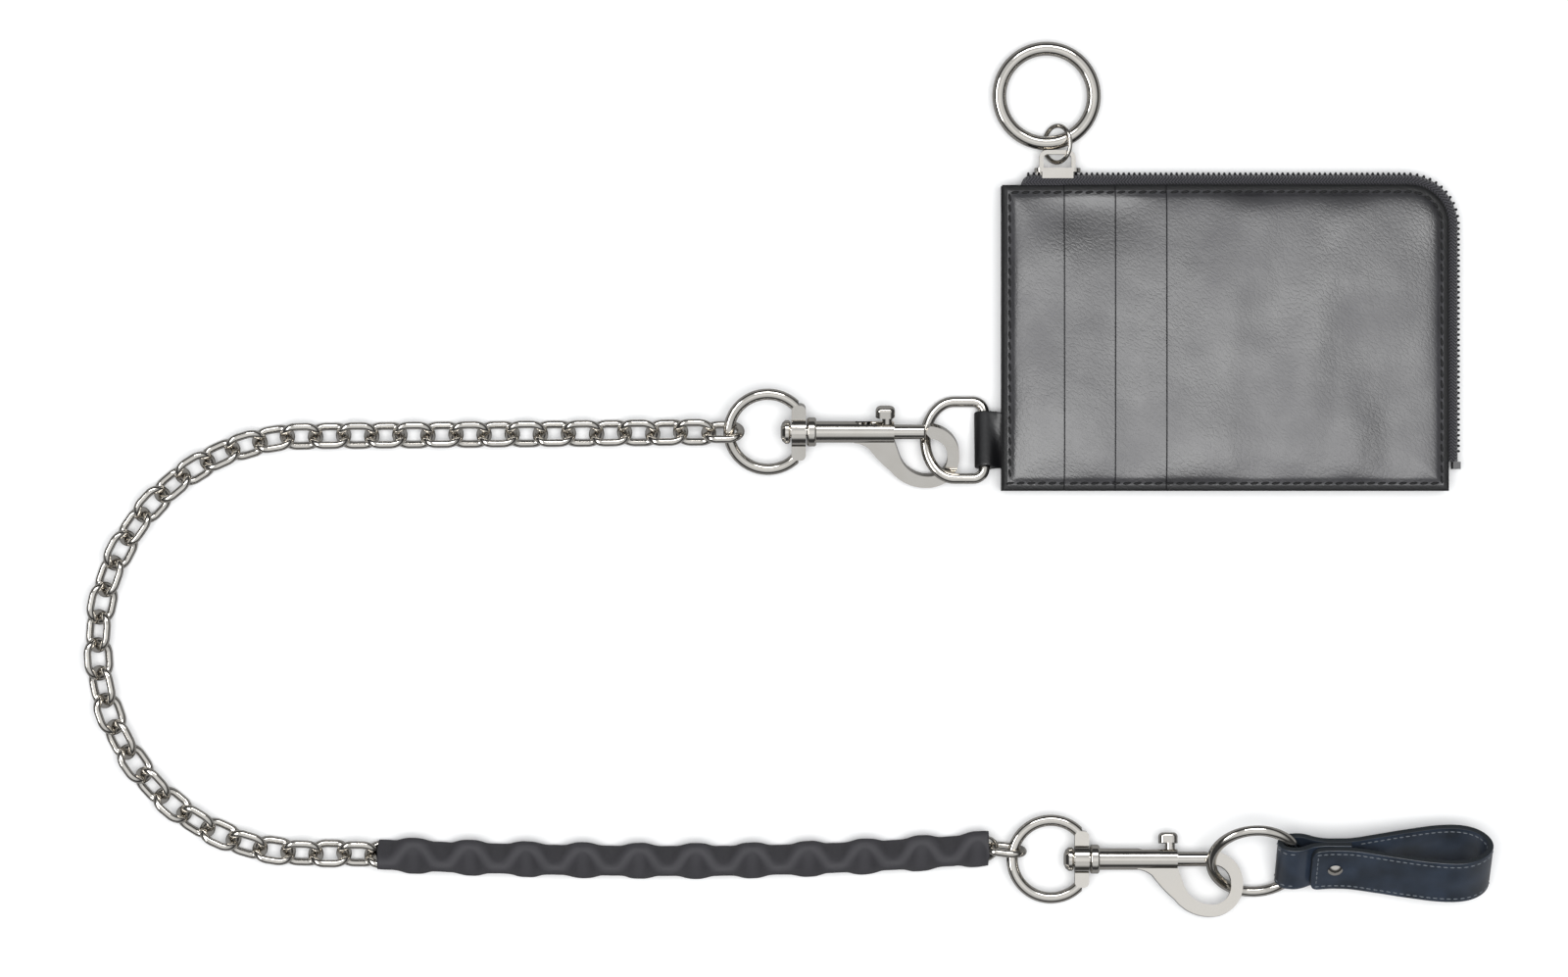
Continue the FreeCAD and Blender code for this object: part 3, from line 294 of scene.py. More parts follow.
@dataclass(frozen=True)
class Finish:
    """A named finish: each kind says how its surface is shaded."""

    name: str

    def surface(self, tree: Tree) -> Shader:
        """Shades the finish.

        Args:
            tree: The material's tree.

        Returns:
            The surface shader.
        """
        raise NotImplementedError

    def material(self) -> Material:
        """Builds the finish.

        Returns:
            The material.
        """
        material = bpy.data.materials.new(self.name)
        material.use_nodes = True
        tree = material.node_tree
        tree.nodes.clear()
        add_node(tree, "OutputMaterial", {"Surface": self.surface(tree).outputs[0]})
        return material


@dataclass(frozen=True)
class SmoothLeather(Finish):
    """Drum-dyed calf with a glazed top: near black, with fine creases that catch a soft grey sheen."""

    name: str = "glazed_black_calf"
    colour: str = "#151417"
    worn: str = "#2d2c30"
    roughness: float = 0.31
    coat: float = 0.3
    strength: float = 0.4
    crease_mm: float = 1.15
    grain_mm: float = 0.3
    mottle_mm: float = 21.0
    relief_mm: float = 0.05

    def surface(self, tree: Tree) -> Shader:
        """Shades creases, grain and worn patches."""
        place = millimetres(tree)
        slant = millimetres(tree, 0.75, 1.9)
        drift = add_node(tree, "TexNoise", {"Vector": place, "Scale": 0.45, "Detail": 2.0})
        bent = add_node(tree, "VectorMath", {0: drift.outputs["Color"], 1: slant}, operation="ADD")
        cells = add_node(tree, "TexVoronoi", {
            "Vector": bent.outputs[0], "Scale": 1 / self.crease_mm, "Randomness": 1.0,
        }, feature="DISTANCE_TO_EDGE")
        crease = span(tree, cells.outputs["Distance"], 0.0, 1.0, 0.0, 0.22)
        grain = noise_map(tree, place, 1 / self.grain_mm, 3.0, 0.6)
        height = math_node(tree, "MULTIPLY_ADD", grain, 0.55, crease)
        mottle = noise_map(tree, place, 1 / self.mottle_mm, 3.0, 0.55)
        patches = span(tree, mottle, 0.0, 1.0, 0.3, 0.7)
        return principled(tree, {
            "Base Color": colour_mix(tree, patches, self.colour, self.worn),
            "Roughness": span(tree, mottle, self.roughness - 0.06, self.roughness + 0.1, 0.3, 0.7),
            "Normal": bump(tree, height, self.strength, self.relief_mm),
            "IOR": 1.5, "Coat Weight": self.coat, "Coat Roughness": 0.3,
        })


@dataclass(frozen=True)
class StrapLeather(Finish):
    """Bridle leather dyed navy black: waxed, with faint lines across it where it has been bent."""

    name: str = "navy_bridle_leather"
    colour: str = "#1d232b"
    worn: str = "#303a49"
    roughness: float = 0.32
    line_mm: float = 0.8
    relief_mm: float = 0.05

    def surface(self, tree: Tree) -> Shader:
        """Shades the leather from the strap's own map, long way first."""
        along = pattern_map(tree)
        lines = noise_map(tree, pattern_map(tree, (1 / self.line_mm, 0.09, 1)), 1.0)
        grain = noise_map(tree, along, 2.6, 3.0)
        patches = noise_map(tree, along, 0.09)
        folds = math_node(tree, "MULTIPLY", lines, span(tree, patches, 0.1, 1.0, 0.4, 0.62))
        height = math_node(tree, "MULTIPLY_ADD", grain, 0.5, folds)
        share = span(tree, patches, 0.0, 1.0, 0.3, 0.7)
        return principled(tree, {
            "Base Color": colour_mix(tree, share, self.colour, self.worn),
            "Normal": bump(tree, height, 0.6, self.relief_mm), "IOR": 1.5,
            "Roughness": span(tree, grain, self.roughness - 0.06, self.roughness + 0.08),
            "Coat Weight": 0.5, "Coat Roughness": 0.22,
        })


@dataclass(frozen=True)
class PaintedEdge(Finish):
    """Edge paint over cut leather: darker and duller than the face, with lines of the layers under it."""

    colour: str
    roughness: float = 0.5

    def surface(self, tree: Tree) -> Shader:
        """Shades the paint."""
        fibres = noise_map(tree, millimetres(tree), 2.4, 4.0, 0.7)
        return principled(tree, {
            "Base Color": colour_mix(tree, fibres, "#0c0d0f", self.colour),
            "Normal": bump(tree, fibres, 0.7, 0.09),
            "Roughness": span(tree, fibres, self.roughness - 0.1, self.roughness + 0.15),
        })


@dataclass(frozen=True)
class TwillTape(Finish):
    """Polyester zip tape in a herringbone twill, charcoal, its ribs about a millimetre apart, with painted
    shade near black in the valleys between them.
    """

    name: str = "herringbone_tape"
    colour: str = "#4c4b51"
    valley_shade: str = "#08080a"
    rib_mm: float = 0.95
    row_mm: float = 2.6
    cross_mm: float = 0.6

    def surface(self, tree: Tree) -> Shader:
        """Shades the weave on the tape's own map, with painted shade in its valleys."""
        place = pattern_map(tree)
        parts = add_node(tree, "SeparateXYZ", {0: place})
        fold = math_node(tree, "PINGPONG", parts.outputs[1], self.row_mm / 2)
        slant = math_node(tree, "ADD", parts.outputs[0], fold)
        wave = math_node(tree, "SINE", math_node(tree, "MULTIPLY", slant, 2 * math.pi / self.rib_mm))
        across = math_node(tree, "MULTIPLY", parts.outputs[1], 2 * math.pi / self.cross_mm)
        ribs = math_node(tree, "MULTIPLY_ADD", math_node(tree, "SINE", across), 0.25, wave)
        height = math_node(tree, "MULTIPLY_ADD", noise_map(tree, place, 3.0, 3.0), 0.9, ribs)
        # Painted shade: the colour follows the weave's height, near black in the valleys and charcoal on
        # the ribs.
        share = span(tree, height, 0.0, 1.0, -0.8, 1.5)
        return principled(tree, {
            "Base Color": colour_mix(tree, share, self.valley_shade, self.colour),
            "Normal": bump(tree, height, 1.0, 0.16), "Roughness": 0.75,
            "Sheen Weight": 0.25, "Sheen Roughness": 0.4,
        })


@dataclass(frozen=True)
class MouldedNylon(Finish):
    """Nylon monofilament and moulded stops: black, smooth, a soft plastic shine."""

    name: str = "black_nylon"

    def surface(self, tree: Tree) -> Shader:
        """Shades the nylon."""
        flow = noise_map(tree, millimetres(tree), 1.8)
        return principled(tree, {
            "Base Color": colour_mix(tree, flow, "#141416", "#1d1d20"),
            "Normal": bump(tree, flow, 0.3, 0.04), "IOR": 1.53,
            "Roughness": span(tree, flow, 0.34, 0.46),
        })


@dataclass(frozen=True)
class BondedThread(Finish):
    """Bonded polyester thread: three plies twisted, seen as slanting lines along each stitch."""

    colour: str
    shadow: str
    shine: float = 0.5

    def surface(self, tree: Tree) -> Shader:
        """Shades the thread on each stitch's own map."""
        place = add_node(tree, "TexCoord").outputs["UV"]
        turned = add_node(tree, "Mapping", {"Vector": place, "Rotation": (0, 0, 0.7)})
        wave = add_node(tree, "TexWave", {"Vector": turned.outputs[0], "Scale": 2.4, "Distortion": 0.6})
        plies = wave.outputs["Fac"]
        return principled(tree, {
            "Base Color": colour_mix(tree, plies, self.shadow, self.colour),
            "Normal": bump(tree, plies, 0.5, 0.08), "Roughness": self.shine,
        })


@dataclass(frozen=True)
class PolishedNickel(Finish):
    """Bright nickel plate on cast zinc and steel: a warm mirror with hairline wear."""

    name: str = "bright_nickel"
    roughness: float = 0.09
    scratch_mm: float = 0.35

    def surface(self, tree: Tree) -> Shader:
        """Shades the plate."""
        smear = noise_map(tree, millimetres(tree), 0.22, 3.0)
        lines = noise_map(tree, millimetres(tree, 0.4, 9.0), 1 / self.scratch_mm)
        return principled(tree, {
            "Base Color": colour_mix(tree, smear, "#cfcac2", "#dcd8d2"),
            "Normal": bump(tree, lines, 0.12, 0.01), "Metallic": 1.0,
            "Roughness": span(tree, smear, self.roughness - 0.03, self.roughness + 0.05, 0.3, 0.7),
        })


@dataclass(frozen=True)
class SpringWire(Finish):
    """Drawn spring steel: grey, with dull drawing lines."""

    name: str = "drawn_spring_steel"

    def surface(self, tree: Tree) -> Shader:
        """Shades the wire."""
        lines = noise_map(tree, millimetres(tree, 0, 6), 2.5)
        return principled(tree, {
            "Base Color": linear("#a9a9a8"), "Metallic": 1.0, "Roughness": span(tree, lines, 0.25, 0.4),
        })


@dataclass(frozen=True)
class ShrunkRubber(Finish):
    """Heat-shrunk rubber tube: charcoal, matt, its skin faintly pebbled and stretched over the links."""

    name: str = "shrunk_rubber"
    roughness: float = 0.7

    def surface(self, tree: Tree) -> Shader:
        """Shades the rubber."""
        place = millimetres(tree)
        skin = noise_map(tree, place, 2.2, 4.0, 0.65)
        return principled(tree, {
            "Base Color": colour_mix(tree, noise_map(tree, place, 0.12), "#323135", "#3b3a3e"),
            "Normal": bump(tree, skin, 0.45, 0.05), "IOR": 1.52,
            "Roughness": span(tree, skin, self.roughness - 0.06, self.roughness + 0.1),
        })


@dataclass(frozen=True)
class LiningCloth(Finish):
    """Plain-woven polyester lining: black, its threads half a millimetre apart, drawn coarse to show."""

    name: str = "woven_lining"

    def surface(self, tree: Tree) -> Shader:
        """Shades the cloth."""
        checks = add_node(tree, "TexChecker", {"Vector": millimetres(tree), "Scale": 2.0})
        weave = checks.outputs["Fac"]
        return principled(tree, {
            "Base Color": colour_mix(tree, weave, "#131315", "#1c1c1f"),
            "Normal": bump(tree, weave, 0.5, 0.05), "Roughness": 0.8, "Sheen Weight": 0.2,
        })


@dataclass(frozen=True)
class WhiteCard(Finish):
    """Matt white card under the object, grey to mirrors so that they show some contrast."""

    name: str = "matt_white_card"

    def surface(self, tree: Tree) -> Shader:
        """Shades the card."""
        speck = noise_map(tree, millimetres(tree), 0.02)
        white = add_node(tree, "BsdfDiffuse", {"Color": colour_mix(tree, speck, "#fbfbfb", "#fdfdfd")})
        grey = add_node(tree, "BsdfDiffuse", {"Color": linear("#8c8c8c")})
        mirrored = add_node(tree, "LightPath").outputs["Is Glossy Ray"]
        return add_node(tree, "MixShader", {0: mirrored, 1: white.outputs[0], 2: grey.outputs[0]})


@dataclass
class FinishBox:
    """Every finish, made once."""

    def __post_init__(self) -> None:
        """Makes the materials."""
        self.leather = SmoothLeather().material()
        self.tab = SmoothLeather("satin_calf_tab", "#0e0e10", "#151517", 0.4, 0.15).material()
        # Border outside the seam: dyed darker and duller, and its near-black colour is also painted shade
        # for the skived border tilting away from the light.
        self.border_burnish_and_shade = SmoothLeather(
            "burnished_and_shaded_calf_border", "#070708", "#0c0c0e", 0.55, 0.0, 0.5
        ).material()
        self.edge = PaintedEdge("black_edge_paint", "#1d1d20").material()
        self.strap = StrapLeather().material()
        self.strap_edge = PaintedEdge("navy_edge_paint", "#242c33", 0.6).material()
        self.tape = TwillTape().material()
        self.nylon = MouldedNylon().material()
        self.thread = BondedThread("black_thread", "#0e0e10", "#030304", 0.7).material()
        self.grey_thread = BondedThread("grey_thread", "#868d94", "#3d4248", 0.6).material()
        self.nickel = PolishedNickel().material()
        self.spring = SpringWire().material()
        self.rubber = ShrunkRubber().material()
        self.lining = LiningCloth().material()


# ------------------------------------------------------------------ mesh aids


def mapped_grid(
    columns: int, rows: int, place: Callable[[int, int], Vector],
    pattern: Callable[[int, int], tuple[float, float]] | None = None,
) -> Mesh:
    """Makes a grid and lays each of its points in place.

    Args:
        columns: Faces along the first way.
        rows: Faces along the second way.
        place: Gives the place of a point, in millimetres, from its two numbers.
        pattern: Gives the point's map place, in millimetres.

    Returns:
        The bmesh, in metres.
    """
    bm = bmesh.new()
    layer = bm.loops.layers.uv.new("UVMap")
    bmesh.ops.create_grid(bm, x_segments=columns, y_segments=rows, size=0.5)
    spots = {}
    for vert in bm.verts:
        key = (round((vert.co.x + 0.5) * columns), round((vert.co.y + 0.5) * rows))
        spots[vert] = key
        vert.co = place(*key) * MM
    if pattern:
        for face in bm.faces:
            for loop in face.loops:
                loop[layer].uv = pattern(*spots[loop.vert])
    return bm


def make_piece(
    bm: Mesh, name: str, materials: Sequence[Material], body: str,
    replaced: Sequence[str] = (), sharp: float = 180.0,
) -> Piece:
    """Turns a bmesh into a piece that rides on a body.

    Args:
        bm: The finished bmesh, which is freed.
        name: The piece's name.
        materials: Its materials, by slot number.
        body: The CAD body it rides on.
        replaced: CAD nodes it stands for.
        sharp: Edges over this angle, in degrees, stay sharp.

    Returns:
        The new object.
    """
    mesh = bpy.data.meshes.new(name)
    bm.to_mesh(mesh)
    bm.free()
    for material in materials:
        mesh.materials.append(material)
    mesh.shade_smooth()
    if sharp < 180:
        mesh.set_sharp_from_angle(angle=math.radians(sharp))
    piece = bpy.data.objects.new(name, mesh)
    bpy.context.scene.collection.objects.link(piece)
    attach(piece, body)
    if replaced:
        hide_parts(*replaced)
    LOG.info("%s: %d faces on %s", name, len(mesh.polygons), body)
    return piece


def add_wall(piece: Piece, thickness: float, offset: float = 0.0, rim: int = 0) -> None:
    """Gives a sheet its thickness.

    Args:
        piece: The sheet.
        thickness: In millimetres.
        offset: From -1, all on the back, to 1, all on the face.
        rim: How many material slots on the rim's material is.
    """
    wall = piece.modifiers.new("wall", "SOLIDIFY")
    wall.thickness = thickness * MM
    wall.offset = offset
    wall.material_offset_rim = rim
    wall.use_even_offset = True


def add_round(piece: Piece, width: float, segments: int = 2) -> None:
    """Rounds a piece's sharp edges.

    Args:
        piece: The piece.
        width: In millimetres.
        segments: Faces round the edge.
    """
    rounding = piece.modifiers.new("round", "BEVEL")
    rounding.width = width * MM
    rounding.segments = segments
    rounding.limit_method = "ANGLE"
    rounding.angle_limit = math.radians(50)


def smooth_course(points: Sequence[tuple[float, float]], per_run: int) -> list[Vector]:
    """Runs a smooth line through points in a plane.

    Args:
        points: The points, in millimetres.
        per_run: Steps between each two.

    Returns:
        The line's points.
    """
    spots = [Vector((p[0], p[1])) for p in points]
    line = []
    for at in range(len(spots) - 1):
        here, there = spots[at], spots[at + 1]
        before = spots[max(at - 1, 0)]
        after = spots[min(at + 2, len(spots) - 1)]
        length = (there - here).length
        leave = (there - before) * (length / max((there - before).length, 1e-6))
        arrive = (after - here) * (length / max((after - here).length, 1e-6))
        for step in range(per_run):
            t = step / per_run
            line.append(
                here * (2 * t ** 3 - 3 * t * t + 1) + leave * (t ** 3 - 2 * t * t + t)
                + there * (3 * t * t - 2 * t ** 3) + arrive * (t ** 3 - t * t)
            )
    line.append(spots[-1])
    return line


def headings(line: Sequence[Vector]) -> list[Vector]:
    """Gives a line's direction at each of its points.

    Args:
        line: The points.

    Returns:
        One unit vector for each point.
    """
    last = len(line) - 1
    return [(line[min(at + 1, last)] - line[max(at - 1, 0)]).normalized() for at in range(last + 1)]


def distances(line: Sequence[Vector]) -> list[float]:
    """Gives the length run at each of a line's points.

    Args:
        line: The points.

    Returns:
        One length for each point.
    """
    run = [0.0]
    for first, second in zip(line, line[1:]):
        run.append(run[-1] + (second - first).length)
    return run


def tilted(origin: tuple[float, float, float], degrees: float) -> Matrix:
    """Gives a frame at a place, turned about X.

    Args:
        origin: The place, in millimetres.
        degrees: The turn.

    Returns:
        The frame's matrix, in millimetres.
    """
    return Matrix.Translation(origin) @ Matrix.Rotation(math.radians(degrees), 4, "X")


@dataclass
class Stitcher:
    """Sews stitches: each is a small bead of thread, laid along the seam."""

    length: float
    width: float
    height: float

    def sew(self, places: Sequence[tuple[Vector, Vector, Vector]]) -> Mesh:
        """Makes one bead for each place.

        Args:
            places: The middle, the way along and the way up, in millimetres.

        Returns:
            The bmesh, in metres.
        """
        bm = bmesh.new()
        bm.loops.layers.uv.new("UVMap")
        for middle, along, up in places:
            side = up.cross(along).normalized()
            square = along.cross(side)
            turn = Matrix((along, side, square)).transposed().to_4x4()
            size = Matrix.Diagonal((self.length / 2 * MM, self.width / 2 * MM, self.height / 2 * MM, 1))
            upright = Matrix.Rotation(math.pi / 2, 4, "Y")
            bmesh.ops.create_uvsphere(
                bm, u_segments=8, v_segments=6, radius=1, calc_uvs=True,
                matrix=Matrix.Translation(middle * MM) @ turn @ size @ upright,
            )
        return bm


# ------------------------------------------------------------------ pouch


@dataclass
class PouchShape:
    """The pouch's outline and the way its leather swells between the seams."""

    half_width: float = 67.25
    half_height: float = 46.15
    corner: float = 12.0
    seam: float = 2.3
    swell: float = 1.2
    groove: float = 0.34
    skive: float = 1.0
    edge_round: float = 0.35
    folds: tuple = ((0.8, 17, 42, 3.7), (0.13, 11, 13, 8.1), (0.02, 3.6, 4.4, 1.3))
    pinch_depth: float = 2.0
    pinch_at: tuple = (-46, 45)
    pinch_size: tuple = (24, 14)

    def edge_distance(self, x: float, y: float) -> float:
        """Gives how far inside the outline a point is.

        Args:
            x: Across, in millimetres.
            y: Up, in millimetres.

        Returns:
            The distance in millimetres.
        """
        across = self.half_width - self.corner
        upward = self.half_height - self.corner
        if x > across and y > upward:
            return self.corner - math.hypot(x - across, y - upward)
        return min(self.half_width - abs(x), self.half_height - abs(y))

    def rounded(self, x: float, y: float) -> tuple[float, float]:
        """Draws the square corner's points in to the round corner.

        Args:
            x: Across, in millimetres.
            y: Up, in millimetres.

        Returns:
            The point's new place.
        """
        across = self.half_width - self.corner
        upward = self.half_height - self.corner
        if x <= across or y <= upward:
            return x, y
        a = (x - across) / self.corner
        b = (y - upward) / self.corner
        return (
            across + self.corner * a * math.sqrt(1 - b * b / 2),
            upward + self.corner * b * math.sqrt(1 - a * a / 2),
        )

    def relief(self, x: float, y: float, swell: float) -> float:
        """Gives the leather's height over its flat level.

        Args:
            x: Across, in millimetres.
            y: Up, in millimetres.
            swell: How much of the swelling it has, from 0 to 1.

        Returns:
            The height in millimetres.
        """
        edge = self.edge_distance(x, y)
        inside = edge - self.seam
        groove = -self.groove * math.exp(-(inside / 0.75) ** 2)
        if inside <= 0:
            return groove - swell * self.skive * (-inside / self.seam) ** 1.2
        low_side = self.half_height - self.seam + y
        soft = 3.2 + 3.4 * math.exp(-(low_side / 14) ** 2)
        rise = self.swell * (1 - math.exp(-inside / soft))
        folds = sum(
            depth * noise.noise(Vector((x / wide, y / tall, seed)))
            for depth, wide, tall, seed in self.folds
        )
        calm = 1 - math.exp(-inside / 4)
        (at_x, at_y), (wide, tall) = self.pinch_at, self.pinch_size
        pinch = -self.pinch_depth * math.exp(-((x - at_x) / wide) ** 2 - ((y - at_y) / tall) ** 2)
        return groove + swell * (rise + (folds + pinch) * calm)


@dataclass
class LeatherSheet:
    """One cut panel of the pouch, with soft edges, painted sides and a darker border that is partly painted
    shade.
    """

    name: str
    node: str
    face: Face = Face.UP
    swell: float = 1.0
    spacing: float = 0.8
    shape: PouchShape = None
    flat_under: bool = False
    near: tuple = (0.0, 0.04, 0.14, 0.3, 0.5, 0.9)
    border_gap: float = 0.25
    side_slope: float = 0.35
    sharp_edge: float = 55.0

    def lines(self, low: float, high: float) -> list[float]:
        """Spaces a sheet's lines, close together at its two edges.

        Args:
            low: The first edge.
            high: The last edge.

        Returns:
            The places of the lines.
        """
        rim = self.near[-1]
        count = max(2, round((high - low - 2 * rim) / self.spacing))
        inner = [low + rim + (high - low - 2 * rim) * at / count for at in range(1, count)]
        return [low + n for n in self.near] + inner + [high - n for n in reversed(self.near)]

    def build(self, finishes: FinishBox) -> Piece:
        """Cuts, swells and dresses the panel.

        Args:
            finishes: The materials.

        Returns:
            The piece.
        """
        low, high = (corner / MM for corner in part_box(self.node))
        xs, ys = self.lines(low.x, high.x), self.lines(low.y, high.y)
        sign = self.face.value
        outer = high.z if sign > 0 else low.z
        curve = self.shape.edge_round

        def place(column: int, row: int) -> Vector:
            """Gives a point of the good side."""
            x, y = self.shape.rounded(xs[column], ys[row])
            near = min(self.shape.edge_distance(x, y), xs[column] - low.x)
            drop = 0.0
            if near < curve:
                gap = curve - max(near, 0.0)
                drop = curve - math.sqrt(curve * curve - gap * gap)
            return Vector((x, y, outer + sign * (self.shape.relief(x, y, self.swell) - drop * 0.9)))

        bm = mapped_grid(len(xs) - 1, len(ys) - 1, place)
        thickness = (high.z - low.z) * MM
        copied = bmesh.ops.extrude_face_region(bm, geom=bm.faces[:], use_keep_orig=True)
        lowered = [g for g in copied["geom"] if isinstance(g, bmesh.types.BMVert)]
        bmesh.ops.translate(bm, vec=(0, 0, -sign * thickness), verts=lowered)
        if self.flat_under:
            for vert in lowered:
                vert.co.z = max(vert.co.z, low.z * MM)
        bmesh.ops.recalc_face_normals(bm, faces=bm.faces[:])
        band = self.shape.seam - self.border_gap
        for face in bm.faces:
            centre = face.calc_center_median() / MM
            if abs(face.normal.z) < self.side_slope:
                face.material_index = 1
            # Border faces outside the seam take the darker material: partly burnished leather, partly
            # painted shade.
            elif self.shape.edge_distance(centre.x, centre.y) < band:
                face.material_index = 2
        return make_piece(
            bm, self.name, [finishes.leather, finishes.edge, finishes.border_burnish_and_shade], "wallet",
            [self.node], self.sharp_edge,
        )


@dataclass
class EdgeStack:
    """The two cut layers between the panels along one side, each with its rounded edge."""

    name: str
    node: str
    layers: int = 2
    round: float = 0.55

    def build(self, finishes: FinishBox) -> Piece:
        """Stacks the layers.

        Args:
            finishes: The materials.

        Returns:
            The piece.
        """
        low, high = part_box(self.node)
        rise = (high.z - low.z) / self.layers
        bm = bmesh.new()
        for layer in range(self.layers):
            middle = (low + high) / 2
            middle.z = low.z + rise * (layer + 0.5)
            size = Matrix.Diagonal((high.x - low.x, high.y - low.y, rise, 1))
            bmesh.ops.create_cube(bm, size=1, matrix=Matrix.Translation(middle) @ size)
        bmesh.ops.bevel(
            bm, geom=bm.edges[:], offset=self.round * MM, offset_type="OFFSET", affect="EDGES",
            segments=3, profile=0.5, material=-1,
        )
        return make_piece(bm, self.name, [finishes.edge], "wallet", [self.node])


@dataclass
class HiddenSheet:
    """A lining or divider inside the pouch: a thin sheet, slightly slack."""

    name: str
    node: str
    slot: Slot
    slack: float = 0.12

    def build(self, material: Material) -> Piece:
        """Cuts the sheet to its CAD box.

        Args:
            material: Its finish.

        Returns:
            The piece.
        """
        low, high = (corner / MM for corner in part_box(self.node))
        columns, rows = 40, 28
        level = (low.z + high.z) / 2

        def place(column: int, row: int) -> Vector:
            """Gives a point of the sheet's middle."""
            x = low.x + (high.x - low.x) * column / columns
            y = low.y + (high.y - low.y) * row / rows
            return Vector((x, y, level + self.slack * noise.noise(Vector((x / 20, y / 20, level)))))

        bm = mapped_grid(columns, rows, place, lambda c, r: (c * 3.0, r * 3.0))
        piece = make_piece(bm, self.name, [material], "wallet", [self.node])
        add_wall(piece, max(0.3, high.z - low.z - 2 * self.slack))
        return piece


@dataclass
class PouchStitching:
    """The lock stitch round the pouch, sunk in its groove, on the front and the back."""

    shape: PouchShape
    pitch: float = 3.2
    length: float = 2.5
    width: float = 0.85
    height: float = 0.75
    slant: float = 0.16
    lift: float = 0.1
    back_level: float = 0.3

    def seam(self) -> list[tuple[Vector, Vector]]:
        """Steps round the seam.

        Returns:
            The places of the stitches and their directions.
        """
        inset = self.shape.seam
        across = self.shape.half_width - inset
        upward = self.shape.half_height - inset
        radius = self.shape.corner - inset
        middle = Vector((self.shape.half_width - self.shape.corner,
                         self.shape.half_height - self.shape.corner, 0))
        corner = [
            middle + radius * Vector((math.sin(a), math.cos(a), 0))
            for a in (math.pi / 2 * step / 12 for step in range(13))
        ]
        line = [Vector((-across, upward, 0)), *corner, Vector((across, -upward, 0)),
                Vector((-across, -upward, 0)), Vector((-across, upward, 0))]
        run = distances(line)
        count = round(run[-1] / self.pitch)
        steps = []
        for number in range(count):
            at = run[-1] * (number + 0.5) / count
            part = next(i for i in range(len(run) - 1) if run[i + 1] >= at)
            way = (line[part + 1] - line[part]).normalized()
            steps.append((line[part] + way * (at - run[part]), way))
        return steps

    def build(self, finishes: FinishBox) -> None:
        """Sews the front and the back.

        Args:
            finishes: The materials.
        """
        tops = ("front_panel", "card_panel_1", "card_panel_2", "card_panel_3")
        levels = [(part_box(node)[0].x / MM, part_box(node)[1].z / MM) for node in tops]
        places, backs = [], []
        for spot, way in self.seam():
            level = max(top for left, top in levels if spot.x > left - 0.01)
            turn = Matrix.Rotation(self.slant, 3, "Z")
            groove = self.shape.relief(spot.x, spot.y, 1.0)
            height = level + groove + self.lift
            places.append((spot + Vector((0, 0, height)), turn @ way, Vector((0, 0, 1))))
            backs.append((spot + Vector((0, 0, self.back_level)), turn @ way, Vector((0, 0, -1))))
        stitcher = Stitcher(self.length, self.width, self.height)
        make_piece(stitcher.sew(places), "pouch_stitches", [finishes.thread], "wallet",
                   ["wallet_stitching"])
        make_piece(stitcher.sew(backs), "pouch_back_stitches", [finishes.thread], "wallet")


class Pouch:
    """Panels, edges, lining and seam of the card pouch."""

    def build(self, finishes: FinishBox) -> None:
        """Builds the pouch's leather and lining.

        Args:
            finishes: The materials.
        """
        shape = PouchShape()
        LeatherSheet("back_leather", "back_panel", Face.DOWN, 0.0, 1.6, shape).build(finishes)
        LeatherSheet("front_leather", "front_panel", Face.UP, 1.0, 0.8, shape, True).build(finishes)
        for number in (1, 2, 3):
            LeatherSheet(
                f"card_leather_{number}", f"card_panel_{number}", Face.UP, 1.0, 0.8, shape
            ).build(finishes)
        EdgeStack("lower_edge_layers", "gusset_low").build(finishes)
        EdgeStack("left_edge_layers", "gusset_left").build(finishes)
        for side in ("back", "front"):
            HiddenSheet(f"lining_cloth_{side}", f"lining_{side}", Slot.LINING).build(finishes.lining)
            HiddenSheet(f"divider_leather_{side}", f"divider_{side}", Slot.LEATHER).build(finishes.leather)
        PouchStitching(shape).build(finishes)


# ------------------------------------------------------------------ zip


